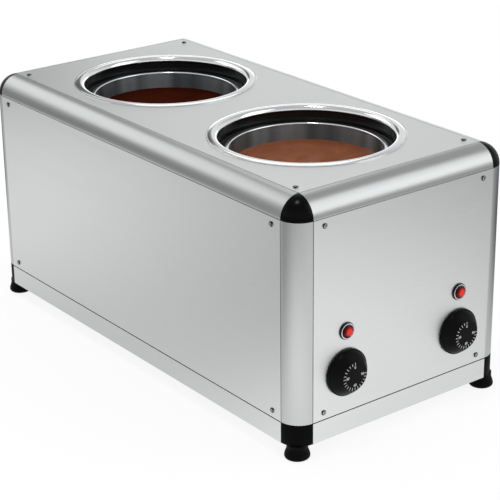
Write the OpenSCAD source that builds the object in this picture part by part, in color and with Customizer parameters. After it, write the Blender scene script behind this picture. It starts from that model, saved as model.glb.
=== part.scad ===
// Countertop chocolate melting tank: a sheet-steel case on a frame of quarter-round profiles,
// with two heated wells, two lift-out pots, and a dial and a pilot lamp for each well.
// Millimetres, +Z up, control face towards -Y, origin under the middle of the case.

/* [Case] */
// Length of the case over its end panels
case_length = 600; // [580:1:680]
// Width of the case over its side panels
case_width = 300; // [285:1:340]
// Height of the case, from the bottom of the skirt to the top panel
case_height = 276; // [260:1:320]
// Height of the skirt, from its bottom to the seam
skirt_height = 25; // [20:1:32]
// Open seam between the skirt and the panels above it
seam_gap = 1.2; // [0.8:0.1:2]
// Sheet thickness of the panels
panel_sheet = 1.2; // [0.8:0.1:1.6]
// Sheet thickness of the base pan
pan_sheet = 1.2; // [0.8:0.1:2]
// Play between a panel's edge and the frame
panel_play = 0.2; // [0.1:0.05:0.4]

/* [Frame profile] */
// Outer radius of the quarter-round profile
profile_radius = 24; // [20:0.5:27]
// Wall of the profile
profile_wall = 2; // [1.5:0.1:2.5]
// Reach of the seat legs behind the panels
leg_reach = 18; // [17:0.5:20]
// Thickness of the seat legs
leg_wall = 2; // [1.5:0.1:3]
// Gap between the ends of two neighbouring legs
leg_gap = 0.5; // [0.3:0.1:2]
// Reach of a cap's or block's plug into the profile
plug_reach = 14; // [8:0.5:24]
// Play between a plug and the inside of the profile
plug_play = 0.15; // [0.1:0.05:0.4]

/* [Feet] */
// Height of the rubber feet
foot_height = 17; // [15:0.5:24]
// Radius of a foot at its bulge
foot_radius = 14; // [13:0.5:16]
// Radius of a foot's neck
foot_neck_radius = 12; // [10:0.5:12.5]
// Radius of the rounding of the bulge
foot_round = 6.2; // [5:0.1:6.5]
// Height of the bulge above the ground
foot_bulge_height = 6.6; // [6.5:0.1:7]
// Distance from the case's outer faces to a foot's centre
foot_inset = 14; // [13.5:0.5:17]
// Radius of the fine grooves round a foot
foot_groove = 0.4; // [0.2:0.05:0.6]
// Thickness of a block's ear on the base pan
ear_height = 4; // [3:0.5:6]
// Reach of a block's ear over the base pan
ear_reach = 16; // [14:0.5:22]
// Distance from a block's corner to its ear's screw
ear_screw_inset = 9; // [7:0.5:10]

/* [Wells] */
// Distance between the centres of the wells
well_spacing = 271; // [262:1:290]
// Width of the flat part of a well's flange
flange_width = 7.5; // [5:0.5:11]
// Gap between a pot's rim and the well's throat
rim_gap = 6; // [5:0.5:8]
// Outer radius of the bend from flange to throat
shoulder_radius = 6; // [4:0.5:7]
// Drop from the top of the flange to the ledge that holds the pot
ledge_drop = 20; // [14:0.5:24]
// Gap between a pot and the bath below the ledge
bath_gap = 2; // [1.5:0.25:3]
// Sheet thickness of the wells
well_sheet = 1; // [0.8:0.1:1.2]
// Thickness of the seal under a flange
seal_thickness = 0.8; // [0.5:0.1:1.5]
// Distance from the flange's edge back to the seal
seal_inset = 0.5; // [0.2:0.1:1]
// Play between a well and its cut-out in the top panel
cutout_play = 0.5; // [0.3:0.1:1]
// Free height under a pot in its bath
bath_clearance = 6; // [3:0.5:12]

/* [Pots] */
// Inner radius of a pot
pot_radius = 86; // [78:0.5:92]
// Depth of a pot, from its rim to its floor
pot_depth = 144.5; // [110:0.5:160]
// Sheet thickness of a pot
pot_sheet = 1; // [0.8:0.1:1.2]
// Width of a pot's rim, from the inside of the pot to its edge
rim_width = 6; // [5:0.25:8]
// Height of a pot's rim
rim_height = 3; // [2:0.25:4]
// Inner radius of the corner at a pot's floor
pot_corner = 14; // [8:0.5:24]
// Drop from a pot's rim to the chocolate
fill_drop = 21.5; // [12:0.5:60]
// Play between the chocolate's solid and the pot
fill_play = 0.1; // [0.05:0.05:0.3]

/* [Heating] */
// Thickness of a heating mat
mat_thickness = 2; // [1:0.1:3]
// Height of a heating mat
mat_height = 100; // [60:1:110]
// Height of a mat's lower edge above the bath's floor
mat_rise = 12; // [6:1:20]
// Play between mat, well and jacket
mat_play = 0.1; // [0.05:0.05:0.3]
// Width of the gap between the ends of a mat
mat_gap = 8; // [7:0.5:10]
// Thickness of an insulation jacket
jacket_thickness = 10; // [6:0.5:14]
// Thickness of the pad under a well
pad_thickness = 8; // [5:0.5:14]
// Width of the slot in a jacket for the sensor and the leads
jacket_slot = 24; // [22:1:30]
// Free height between a jacket and the ledge above it
jacket_drop = 8; // [4:1:20]

/* [Controls] */
// Distance from the middle of the front to a dial and its lamp
control_offset = 81; // [70:1:92]
// Height of the dials above the bottom of the skirt
knob_rise = 71.5; // [65:0.5:78]
// Radius of a knob at its skirt
knob_radius = 26.5; // [24:0.5:30]
// Height of a knob's skirt
knob_skirt = 2; // [1.5:0.1:3]
// Radius of a knob's dial face
knob_face_radius = 17; // [16:0.5:21]
// Depth of a knob
knob_depth = 13.5; // [12:0.5:18]
// Gap between a knob and the panel
knob_gap = 1.2; // [0.8:0.1:2]
// Step from a knob's skirt in to its cone
knob_step = 1; // [0.5:0.1:2]
// Radius of a knob's hub
hub_radius = 8; // [6:0.5:9]
// Gap between a knob's hub and the bush behind it
hub_gap = 0.5; // [0.3:0.1:1]
// Wall of a knob's rim round its hollow back
knob_wall = 4; // [2.5:0.5:6]
// Depth of a knob's hollow back
knob_hollow = 5; // [4:0.5:6]
// Radius of a thermostat's shaft
shaft_radius = 3; // [2.5:0.1:3.5]
// Distance from a shaft's axis to its flat
shaft_flat = 2; // [1.5:0.1:2.2]
// Running clearance of the shaft in its bush
shaft_clearance = 0.05; // [0.03:0.01:0.08]
// Clearance of the knob's hub on the shaft
hub_clearance = 0.05; // [0.02:0.01:0.1]
// Reach of the shaft into the knob
shaft_reach = 9; // [7.5:0.5:10]
// Reach of the shaft into the thermostat
shaft_depth = 14; // [8:0.5:20]

/* [Thermostats] */
// Width of a thermostat's body
thermostat_width = 44; // [40:1:50]
// Height of a thermostat's body
thermostat_height = 34; // [28:1:40]
// Depth of a thermostat's body
thermostat_depth = 26; // [24:1:32]
// Radius of a thermostat's bush
bush_radius = 5; // [4.5:0.1:6]
// Reach of the bush in front of the panel
bush_reach = 1.5; // [0.5:0.1:2.5]
// Play between the bush and the panel
bush_play = 0.3; // [0.2:0.1:0.6]
// Distance between the axes of the two fixing screws
fixing_spacing = 28; // [26:0.5:30]
// Distance between the terminal tabs
tab_pitch = 12; // [10:0.5:14]
// Length of a terminal tab
tab_length = 8; // [6:0.5:10]
// Width of a terminal tab
tab_width = 6.3; // [4.8:0.1:6.3]
// Thickness of a terminal tab
tab_thickness = 0.8; // [0.5:0.1:1]
// Radius of a sensor's capillary
capillary_radius = 1; // [0.8:0.1:1.3]
// Radius of a sensor's bulb
bulb_radius = 2.5; // [2:0.1:3]
// Length of a sensor's bulb
bulb_length = 60; // [30:1:70]
// Play between a bulb and the well
bulb_play = 0.3; // [0.1:0.1:0.5]

/* [Pilot lamps] */
// Height of the lamps above the dials
lamp_rise = 47.5; // [44:0.5:60]
// Radius of a lamp's bezel
bezel_radius = 9.75; // [9.5:0.25:11]
// Height of a lamp's bezel
bezel_height = 2.4; // [1.8:0.1:3]
// Radius of a lamp's barrel
barrel_radius = 6; // [5.5:0.1:6.5]
// Reach of a lamp's barrel behind the panel
barrel_reach = 18; // [14:0.5:20]
// Play between a barrel, its panel hole and its nut
barrel_play = 0.2; // [0.1:0.05:0.4]
// Radius of a lamp's lens
lens_radius = 7.4; // [6:0.1:7.6]
// Height of a lens in front of its bezel
lens_height = 3; // [2:0.1:5]
// Depth of a lens's seat in the bezel
lens_seat = 1.2; // [0.8:0.1:1.6]
// Radius of a lens's stem
stem_radius = 4.2; // [3.5:0.1:4.5]
// Length of a lens's stem
stem_length = 10; // [6:0.5:12]
// Play between a lens and its bezel
lens_play = 0.1; // [0.05:0.05:0.2]
// Width across the flats of a lamp's nut
lamp_nut_width = 17; // [16:0.5:19]
// Thickness of a lamp's nut
lamp_nut_height = 4; // [3:0.5:5]
// Distance from a lamp's axis to its contact pins
pin_offset = 4; // [3:0.25:4.5]
// Radius of a contact pin
pin_radius = 1; // [0.8:0.1:1.2]
// Length of a contact pin
pin_length = 5; // [3:0.5:6]

/* [Cable gland] */
// Distance of the gland from the middle of the rear panel
gland_offset = 70; // [55:1:85]
// Height of the gland above the bottom of the skirt
gland_rise = 52; // [48:1:70]
// Radius of the gland's bore
gland_bore = 4.2; // [3.5:0.1:4.5]
// Radius of the gland's thread
gland_thread = 8; // [7.5:0.1:8.5]
// Play between the thread, the panel hole and the lock nut
gland_play = 0.2; // [0.1:0.05:0.4]
// Width across the flats of the gland's body
gland_width = 22; // [20:0.5:24]
// Height of the gland's body outside the panel
gland_height = 5; // [4:0.5:6]
// Reach of the gland's thread behind the panel
gland_reach = 10; // [8:0.5:14]
// Height of the gland's dome cap
dome_height = 11; // [9:0.5:13]
// Radius of the gland's dome cap
dome_radius = 9.5; // [9:0.25:10]
// Radius of the rounding on the dome cap
dome_round = 4; // [3:0.5:4.5]
// Radius of the opening in the dome cap
dome_opening = 4.8; // [4.6:0.1:5]
// Thickness of the gland's lock nut
lock_nut_height = 4; // [3:0.5:6]

/* [Wiring] */
// Radius of a wire over its insulation
wire_radius = 1.2; // [0.8:0.1:1.4]
// Gap between a wire's end and its contact
joint_gap = 0.2; // [0.1:0.1:0.4]
// Position of the terminal block along the case
terminal_offset = 225; // [215:1:235]
// Distance between the poles of the terminal block
pole_pitch = 10; // [9:0.5:12]
// Width of the terminal block along the wires
terminal_width = 20; // [16:1:24]
// Height of the terminal block
terminal_height = 16; // [14:0.5:20]
// Height of the wire holes above the base pan
pole_rise = 6; // [5:0.5:7]
// Radius of the wire holes
pole_hole = 2; // [1.8:0.1:2.4]
// Length of each ear of the terminal block
terminal_ear = 9; // [8:0.5:14]
// Width of each ear of the terminal block
terminal_ear_width = 10; // [8:0.5:14]
// Height of the terminal block's ears
terminal_ear_height = 4; // [3:0.5:6]

/* [Screws] */
// Distance from a panel screw to the panel's end
screw_along = 14.5; // [13:0.5:15]
// Distance from a panel screw to the panel's long edge
screw_edge = 8; // [6:0.5:10]
// Radius of a small screw's shank
screw_radius = 1.45; // [1.2:0.05:1.6]
// Radius of a small screw's head
screw_head_radius = 3; // [2.5:0.1:3.5]
// Height of a small screw's head
screw_head_height = 1.6; // [1.2:0.1:1.8]
// Length of a small screw
screw_length = 7; // [6:0.5:9]
// Radius of a fixing screw's shank
fixing_radius = 1.95; // [1.7:0.05:2.1]
// Radius of a fixing screw's head
fixing_head_radius = 3.5; // [3:0.1:3.8]
// Height of a fixing screw's head
fixing_head_height = 2; // [1.5:0.1:2.4]
// Length of a thermostat's fixing screw
fixing_length = 9; // [7:0.5:12]
// Length of a foot's screw
foot_screw_length = 20; // [16:0.5:24]
// Depth of the pocket for the screw in a foot
foot_pocket = 6; // [4.5:0.5:8]
// Play of a screw in its thread
thread_play = 0.05; // [0.02:0.01:0.1]
// Play of a screw in a passing hole
hole_play = 0.3; // [0.2:0.1:0.6]
// Width of the cross in a screw's head
cross_width = 0.8; // [0.5:0.1:1]

/* [Hidden] */
$fn = 96;
hex = 6;
lens_sides = 10;
tube_sides = 6;
front_y = -case_length / 2;
rear_y = case_length / 2;
post_x = case_width / 2 - profile_radius;
post_y = case_length / 2 - profile_radius;
seam_z = foot_height + skirt_height;
top_z = foot_height + case_height;
rail_z = top_z - profile_radius;
floor_z = foot_height + pan_sheet;
leg_seat = profile_radius - panel_sheet;
notch = leg_reach + leg_gap;
well_y = well_spacing / 2;
flange_z = top_z + seal_thickness;
ledge_z = flange_z + well_sheet - ledge_drop;
rim_z = ledge_z + rim_height;
pot_floor_z = rim_z - pot_depth;
bath_floor_z = pot_floor_z - pot_sheet - bath_clearance;
fill_z = rim_z - fill_drop;
rim_radius = pot_radius + rim_width;
throat_radius = rim_radius + rim_gap;
flange_radius = throat_radius + shoulder_radius + flange_width;
bath_radius = pot_radius + pot_sheet + bath_gap;
bath_outer = bath_radius + well_sheet;
cutout_radius = throat_radius + shoulder_radius + cutout_play;
mat_inner = bath_outer + mat_play;
mat_outer = mat_inner + mat_thickness;
mat_z = bath_floor_z + mat_rise;
mat_middle = mat_z + mat_height / 2;
jacket_inner = mat_outer + mat_play;
jacket_outer = jacket_inner + jacket_thickness;
jacket_z = bath_floor_z - well_sheet - pad_thickness;
jacket_top = ledge_z - well_sheet - jacket_drop;
front_slot = -90;
rear_slot = 0;
bulb_place = bath_outer + bulb_play + bulb_radius;
bulb_z = mat_z + (mat_height - bulb_length) / 2;
knob_z = foot_height + knob_rise;
lamp_z = knob_z + lamp_rise;
gland_z = foot_height + gland_rise;
ends = [-1, 1];
bore_end = 1;
over = 1;
cross_depth = 0.55;
cross_reach = 0.62;
foot_groove_angles = [-48:14:22];
pole_count = 6;
terminal_body = pole_count * pole_pitch;
terminal_length = terminal_body + 2 * terminal_ear;
terminal_front = terminal_offset - terminal_width / 2;
pole_z = floor_z + pole_rise;
tab_y = front_y + panel_sheet + thermostat_depth + tab_length + joint_gap;
pin_y = front_y + panel_sheet + barrel_reach + pin_length + joint_gap;
capillary_y = front_y + panel_sheet + thermostat_depth / 2;
capillary_z = knob_z - thermostat_height / 2 - joint_gap;
lead_offset = mat_gap;
lead_place = mat_outer + joint_gap;
wire_end = 4;
lane_z = floor_z + 5;
turn_y = 110;
inner_lane = 52;
lead_gap = 6;
climb_y = -well_y - jacket_outer - lead_gap;
side_lane = jacket_outer + 14;

steel = "#cfd1d0";
bright_steel = "#e4e5e4";
satin_aluminium = "#b9bbbb";
black_plastic = "#141414";
black_rubber = "#1d1d1c";
dark_chocolate = "#3a150d";
milk_chocolate = "#80503c";
mineral_wool = "#c9bd9a";
heater_red = "#b5523b";
copper = "#b87048";
lamp_red = "#d8281f";
chrome = "#c8c9cb";
screw_steel = "#8d8f90";
thermostat_cream = "#d9d4c4";
terminal_white = "#e6e2d6";
wire_grey = "#d8d4cc";

// Positions on the faces of the case

// Moves to a corner of the case, with the outer quarter towards +X and +Y
module at_corner(side, end) {
    translate([side * post_x, end * post_y, 0])
        mirror([side < 0 ? 1 : 0, 0, 0])
            mirror([0, end < 0 ? 1 : 0, 0])
                children();
}

// Moves to the front face, with +Z out of it
module on_front(x, z) {
    translate([x, front_y, z]) rotate([90, 0, 0]) children();
}

// Moves to the rear face, with +Z out of it
module on_rear(x, z) {
    translate([x, rear_y, z]) rotate([-90, 0, 0]) children();
}

// Moves to a side face, with +Z out of it
module on_side(side, y, z) {
    translate([side * case_width / 2, y, z]) rotate([0, side * 90, 0]) children();
}

// Moves to the top face
module on_top(x, y) {
    translate([x, y, top_z]) children();
}

// Moves to the underside of the base pan, with +Z downwards
module under_pan(x, y) {
    translate([x, y, foot_height]) rotate([180, 0, 0]) children();
}

// The four corner places of the screws on an end panel
module end_screw_places() {
    for (side = ends, z = [seam_z + screw_edge, rail_z - screw_edge])
        translate([side * (post_x - screw_along), z, 0]) children();
}

// The four corner places of the screws on a side panel
module side_screw_places(side) {
    for (end = ends, z = [seam_z + screw_edge, rail_z - screw_edge])
        on_side(side, end * (post_y - screw_along), z) children();
}

// The four corner places of the screws on the top panel
module top_screw_places() {
    for (side = ends, end = ends)
        on_top(side * (post_x - screw_edge), end * (post_y - screw_along)) children();
}

// The round cut-outs for the wells, down to a depth below the top face
module well_cutouts(depth) {
    for (end = ends)
        on_top(0, end * well_y) sheet_hole(cutout_radius, depth);
}

// Shapes that several pieces share

// A round hole through a sheet whose outer face is at zero
module sheet_hole(radius, sheet) {
    translate([0, 0, -sheet - over]) cylinder(r = radius, h = sheet + 2 * over);
}

// A pan-head screw, its head's seat at zero and its shank downwards
module pan_screw(radius, length, head_radius, head_height) {
    dome = (head_radius * head_radius + head_height * head_height) / (2 * head_height);
    difference() {
        union() {
            rotate_extrude()
                intersection() {
                    translate([0, head_height - dome]) circle(dome);
                    square([head_radius, head_height]);
                }
            translate([0, 0, -length]) cylinder(r = radius, h = length + head_height / 2);
        }
        for (turn = [0, 90])
            rotate([0, 0, turn])
                translate([-cross_reach * head_radius, -cross_width / 2, head_height * cross_depth])
                    cube([2 * cross_reach * head_radius, cross_width, head_height]);
    }
}

module small_screw() {
    pan_screw(screw_radius, screw_length, screw_head_radius, screw_head_height);
}

// The arc of the quarter-round profile with its two end lips
module profile_arc() {
    intersection() {
        circle(profile_radius);
        union() {
            difference() {
                square(profile_radius);
                circle(profile_radius - profile_wall);
            }
            translate([leg_seat - leg_wall, 0]) square([profile_radius, profile_wall]);
            translate([0, leg_seat - leg_wall]) square([profile_wall, profile_radius]);
        }
    }
}

// The seat leg that lies behind the panel on the +X side of the profile
module profile_leg() {
    translate([leg_seat - leg_wall, -leg_reach]) square([leg_wall, leg_reach + profile_wall]);
}

// A length of profile along +Z, with each leg set back from both ends
module profile(length, side_setback, top_setback) {
    linear_extrude(length) profile_arc();
    translate([0, 0, side_setback])
        linear_extrude(length - 2 * side_setback) profile_leg();
    translate([0, 0, top_setback])
        linear_extrude(length - 2 * top_setback) mirror([1, -1]) profile_leg();
}

// The plug that fits inside the profile
module profile_plug() {
    inset = profile_wall + plug_play;
    linear_extrude(plug_reach)
        intersection() {
            circle(profile_radius - inset);
            translate([inset, inset]) square(profile_radius);
        }
}

// A hexagonal prism by its width across the flats
module hex_prism(width, height) {
    cylinder(r = width / 2 / cos(180 / hex), h = height, $fn = hex);
}

// Round tube along a route

function unit(v) = v / norm(v);

// One pass of corner cutting, which keeps both ends of the route
function eased(route) = [
    route[0],
    for (i = [0 : len(route) - 2])
        for (share = [0.25, 0.75])
            route[i] + share * (route[i + 1] - route[i]),
    route[len(route) - 1]
];

function heading(route, i) =
    unit(route[min(i + 1, len(route) - 1)] - route[max(i - 1, 0)]);

// A direction square to the heading, carried along the route without twist
function carried(start, way) = unit(start - (start * way) * way);

function sides_along(route, i, start) =
    i == len(route) ? [] :
    let (side = carried(start, heading(route, i)))
    concat([side], sides_along(route, i + 1, side));

module tube(points, radius) {
    route = eased(points);
    first = heading(route, 0);
    start = abs(first.z) < 0.9 ? [0, 0, 1] : [1, 0, 0];
    side = sides_along(route, 0, start);
    count = len(route);
    corners = [
        for (i = [0 : count - 1])
            for (k = [0 : tube_sides - 1])
                let (turn = k * 360 / tube_sides, other = cross(heading(route, i), side[i]))
                route[i] + radius * (cos(turn) * side[i] + sin(turn) * other)
    ];
    walls = [
        for (i = [0 : count - 2])
            for (k = [0 : tube_sides - 1])
                let (a = i * tube_sides + k, b = i * tube_sides + (k + 1) % tube_sides)
                for (face = [[a, a + tube_sides, b + tube_sides], [a, b + tube_sides, b]])
                    face
    ];
    first_end = [for (k = [0 : tube_sides - 1]) k];
    last_end = [for (k = [tube_sides - 1 : -1 : 0]) (count - 1) * tube_sides + k];
    polyhedron(points = corners, faces = concat(walls, [first_end, last_end]));
}

// Frame

module corner_post(side, end) {
    color(satin_aluminium)
        at_corner(side, end)
            translate([0, 0, seam_z])
                difference() {
                    profile(rail_z - seam_z, 0, 0);
                    for (z = [screw_edge, rail_z - seam_z - screw_edge]) {
                        translate([leg_seat, -screw_along, z])
                            rotate([0, 90, 0]) sheet_hole(screw_radius + thread_play, leg_wall);
                        translate([-screw_along, leg_seat, z])
                            rotate([-90, 0, 0]) sheet_hole(screw_radius + thread_play, leg_wall);
                    }
                }
}

module side_rail(side) {
    color(satin_aluminium)
        difference() {
            translate([side * post_x, post_y, rail_z])
                mirror([side < 0 ? 1 : 0, 0, 0])
                    rotate([90, 0, 0])
                        profile(2 * post_y, notch, leg_gap);
            for (end = ends)
                translate([side * (post_x - screw_edge), end * (post_y - screw_along), top_z - panel_sheet])
                    sheet_hole(screw_radius + thread_play, leg_wall);
            well_cutouts(panel_sheet + leg_wall);
        }
}

module end_rail(end) {
    color(satin_aluminium)
        difference() {
            translate([-post_x, end * post_y, rail_z])
                mirror([0, end < 0 ? 1 : 0, 0])
                    rotate([90, 0, 90])
                        profile(2 * post_x, notch, notch);
            well_cutouts(panel_sheet + leg_wall);
        }
}

module corner_cap(side, end) {
    color(black_plastic)
        at_corner(side, end)
            translate([0, 0, rail_z]) {
                intersection() {
                    sphere(profile_radius);
                    cube(profile_radius);
                }
                mirror([0, 0, 1]) profile_plug();
                rotate([90, 0, 0]) profile_plug();
                mirror([1, 0, 0]) rotate([90, 0, 90]) profile_plug();
            }
}

module foot_block(side, end) {
    foot_place = profile_radius - foot_inset;
    color(black_plastic)
        at_corner(side, end)
            difference() {
                union() {
                    translate([0, 0, foot_height])
                        linear_extrude(skirt_height)
                            intersection() {
                                circle(profile_radius);
                                square(profile_radius);
                            }
                    translate([0, 0, seam_z]) profile_plug();
                    translate([-ear_reach, -ear_reach, floor_z])
                        cube([ear_reach + foot_place, ear_reach + foot_place, ear_height]);
                }
                translate([foot_place, foot_place, foot_height - over])
                    cylinder(r = fixing_radius + thread_play, h = foot_screw_length);
                translate([-ear_screw_inset, -ear_screw_inset, floor_z - over])
                    cylinder(r = screw_radius + thread_play, h = ear_height + 2 * over);
            }
}

module foot(side, end) {
    foot_place = profile_radius - foot_inset;
    core = foot_radius - foot_round;
    color(black_rubber)
        at_corner(side, end)
            translate([foot_place, foot_place, 0])
                rotate_extrude()
                    difference() {
                        union() {
                            square([core, foot_height]);
                            translate([core, foot_bulge_height]) circle(foot_round);
                            translate([0, foot_bulge_height])
                                square([foot_neck_radius, foot_height - foot_bulge_height]);
                        }
                        square([fixing_head_radius + hole_play, foot_pocket]);
                        square([fixing_radius + hole_play, foot_height]);
                        translate([-2 * foot_radius, 0]) square([2 * foot_radius, foot_height]);
                        for (turn = foot_groove_angles)
                            translate([core, foot_bulge_height] + foot_round * [cos(turn), sin(turn)])
                                circle(foot_groove);
                    }
}

// Sheet metal

module top_panel() {
    width = 2 * (post_x - panel_play);
    length = 2 * (post_y - panel_play);
    color(steel)
        difference() {
            translate([-width / 2, -length / 2, top_z - panel_sheet]) cube([width, length, panel_sheet]);
            well_cutouts(panel_sheet);
            top_screw_places() sheet_hole(screw_radius + hole_play, panel_sheet);
        }
}

// The sheet of an end panel, its outer face at zero
module end_sheet() {
    width = 2 * (post_x - panel_play);
    difference() {
        translate([-width / 2, seam_z, -panel_sheet])
            cube([width, rail_z - seam_z - panel_play, panel_sheet]);
        end_screw_places() sheet_hole(screw_radius + hole_play, panel_sheet);
    }
}

module front_panel() {
    color(steel)
        difference() {
            on_front(0, 0) end_sheet();
            for (side = ends) {
                on_front(side * control_offset, knob_z) sheet_hole(bush_radius + bush_play, panel_sheet);
                for (fixing = ends)
                    on_front(side * control_offset + fixing * fixing_spacing / 2, knob_z)
                        sheet_hole(fixing_radius + hole_play, panel_sheet);
                on_front(side * control_offset, lamp_z) sheet_hole(barrel_radius + barrel_play, panel_sheet);
            }
        }
}

module rear_panel() {
    color(steel)
        difference() {
            mirror([0, 1, 0]) on_front(0, 0) end_sheet();
            on_rear(gland_offset, gland_z) sheet_hole(gland_thread + gland_play, panel_sheet);
        }
}

module side_panel(side) {
    length = 2 * (post_y - panel_play);
    place = case_width / 2;
    color(steel)
        difference() {
            translate([side < 0 ? -place : place - panel_sheet, -length / 2, seam_z])
                cube([panel_sheet, length, rail_z - seam_z - panel_play]);
            side_screw_places(side) sheet_hole(screw_radius + hole_play, panel_sheet);
        }
}

module base_pan() {
    wall_height = skirt_height - seam_gap;
    inner_x = post_x - panel_play;
    inner_y = post_y - panel_play;
    color(steel)
        difference() {
            translate([0, 0, foot_height]) {
                linear_extrude(pan_sheet) {
                    square([case_width, 2 * inner_y], center = true);
                    square([2 * inner_x, case_length], center = true);
                }
                linear_extrude(wall_height)
                    for (side = ends) {
                        translate([side * (case_width - pan_sheet) / 2, 0])
                            square([pan_sheet, 2 * inner_y], center = true);
                        translate([0, side * (case_length - pan_sheet) / 2])
                            square([2 * inner_x, pan_sheet], center = true);
                    }
            }
            base_screw_places() sheet_hole(screw_radius + hole_play, pan_sheet);
            terminal_screw_places()
                translate([0, 0, -terminal_ear_height])
                    sheet_hole(screw_radius + thread_play, pan_sheet);
        }
}

// Wells, pots and chocolate

// Cross-section of a well, with the underside of its flange at zero
module well_section() {
    bend_x = throat_radius + shoulder_radius;
    bend_y = well_sheet - shoulder_radius;
    ledge_y = ledge_z - flange_z;
    floor_y = bath_floor_z - flange_z;
    translate([bend_x, 0]) square([flange_radius - bend_x, well_sheet]);
    translate([bend_x, bend_y])
        intersection() {
            difference() {
                circle(shoulder_radius);
                circle(shoulder_radius - well_sheet);
            }
            translate([-shoulder_radius, 0]) square(shoulder_radius);
        }
    translate([throat_radius, ledge_y - well_sheet]) square([well_sheet, bend_y - ledge_y + well_sheet]);
    translate([bath_radius, ledge_y - well_sheet])
        square([throat_radius - bath_radius + well_sheet, well_sheet]);
    translate([bath_radius, floor_y - well_sheet]) square([well_sheet, ledge_y - floor_y + well_sheet]);
    translate([0, floor_y - well_sheet]) square([bath_outer, well_sheet]);
}

module well(end) {
    color(bright_steel)
        translate([0, end * well_y, flange_z]) rotate_extrude() well_section();
}

module well_seal(end) {
    color(black_rubber)
        translate([0, end * well_y, top_z])
            linear_extrude(seal_thickness)
                difference() {
                    circle(flange_radius - seal_inset);
                    circle(cutout_radius);
                }
}

// Cross-section of a pot, with the underside of its rim at zero
module pot_section() {
    floor_y = rim_height - pot_depth;
    bead = rim_height / 2;
    corner_x = pot_radius - pot_corner;
    translate([pot_radius, 0]) square([rim_radius - bead - pot_radius, rim_height]);
    translate([rim_radius - bead, bead]) circle(bead);
    translate([pot_radius, floor_y + pot_corner]) square([pot_sheet, rim_height - floor_y - pot_corner]);
    translate([corner_x, floor_y + pot_corner])
        intersection() {
            difference() {
                circle(pot_corner + pot_sheet);
                circle(pot_corner);
            }
            translate([0, -pot_corner - pot_sheet]) square(pot_corner + pot_sheet);
        }
    translate([0, floor_y - pot_sheet]) square([corner_x, pot_sheet]);
}

module pot(end) {
    color(bright_steel)
        translate([0, end * well_y, ledge_z]) rotate_extrude() pot_section();
}

module chocolate(end, tone) {
    corner_x = pot_radius - pot_corner;
    round = pot_corner - fill_play;
    depth = fill_z - pot_floor_z;
    color(tone)
        translate([0, end * well_y, pot_floor_z])
            rotate_extrude() {
                translate([0, fill_play]) square([corner_x, depth - fill_play]);
                translate([0, pot_corner]) square([pot_radius - fill_play, depth - pot_corner]);
                translate([corner_x, pot_corner])
                    intersection() {
                        circle(round);
                        translate([0, -round]) square(round);
                    }
            }
}

// Heating

// A radial slot that starts just outside the bath
module slot_cut(width, turn) {
    rotate([0, 0, turn])
        translate([bath_outer - well_sheet, -width / 2, jacket_z - over])
            cube([jacket_outer, width, jacket_top - jacket_z + 2 * over]);
}

module heating_mat(end, turn) {
    color(heater_red)
        translate([0, end * well_y, 0])
            difference() {
                translate([0, 0, mat_z]) cylinder(r = mat_outer, h = mat_height);
                translate([0, 0, mat_z - over]) cylinder(r = mat_inner, h = mat_height + 2 * over);
                slot_cut(mat_gap, turn);
            }
}

module insulation(end, turn) {
    color(mineral_wool)
        translate([0, end * well_y, 0])
            difference() {
                translate([0, 0, jacket_z]) cylinder(r = jacket_outer, h = jacket_top - jacket_z);
                translate([0, 0, bath_floor_z - well_sheet])
                    cylinder(r = jacket_inner, h = jacket_top - jacket_z);
                slot_cut(jacket_slot, turn);
            }
}

// Controls

// The shaft's round section with its flat, grown by a clearance
module flatted_section(clearance) {
    intersection() {
        circle(shaft_radius + clearance);
        translate([-2 * shaft_radius, -2 * shaft_radius])
            square([4 * shaft_radius, 2 * shaft_radius + shaft_flat + clearance]);
    }
}

module knob(side) {
    hollow_radius = knob_radius - knob_wall;
    hub_start = bush_reach + hub_gap - knob_gap;
    color(black_plastic)
        on_front(side * control_offset, knob_z)
            translate([0, 0, knob_gap])
                difference() {
                    union() {
                        cylinder(r = knob_radius, h = knob_skirt);
                        translate([0, 0, knob_skirt])
                            cylinder(r1 = knob_radius - knob_step, r2 = knob_face_radius, h = knob_depth - knob_skirt);
                    }
                    difference() {
                        translate([0, 0, -over]) cylinder(r = hollow_radius, h = knob_hollow + over);
                        translate([0, 0, hub_start]) cylinder(r = hub_radius, h = knob_hollow);
                    }
                    linear_extrude(shaft_reach + bore_end) flatted_section(hub_clearance);
                }
}

module thermostat_shaft(side) {
    plain = panel_sheet + shaft_depth + bush_reach;
    color(steel)
        on_front(side * control_offset, knob_z) {
            translate([0, 0, -panel_sheet - shaft_depth]) cylinder(r = shaft_radius, h = plain);
            translate([0, 0, bush_reach])
                linear_extrude(knob_gap + shaft_reach - bush_reach) flatted_section(0);
        }
}

module thermostat(side) {
    color(thermostat_cream)
        on_front(side * control_offset, knob_z)
            difference() {
                union() {
                    translate([-thermostat_width / 2, -thermostat_height / 2, -panel_sheet - thermostat_depth])
                        cube([thermostat_width, thermostat_height, thermostat_depth]);
                    translate([0, 0, -panel_sheet - over])
                        cylinder(r = bush_radius, h = panel_sheet + over + bush_reach);
                    for (tab = [-1 : 1])
                        translate([tab * tab_pitch - tab_thickness / 2, -tab_width / 2,
                                   -panel_sheet - thermostat_depth - tab_length])
                            cube([tab_thickness, tab_width, tab_length + over]);
                }
                translate([0, 0, -panel_sheet - shaft_depth - bore_end])
                    cylinder(r = shaft_radius + shaft_clearance, h = shaft_depth + panel_sheet + bush_reach + bore_end + over);
                for (fixing = ends)
                    translate([fixing * fixing_spacing / 2, 0, -fixing_length - bore_end])
                        cylinder(r = fixing_radius + thread_play, h = fixing_length + bore_end);
            }
}

// A sensor: the bulb beside its well and the capillary to its thermostat
module sensor(end, turn, route) {
    color(copper) {
        translate([0, end * well_y, 0])
            rotate([0, 0, turn])
                translate([bulb_place, 0, bulb_z]) cylinder(r = bulb_radius, h = bulb_length);
        tube(route, capillary_radius);
    }
}

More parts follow.
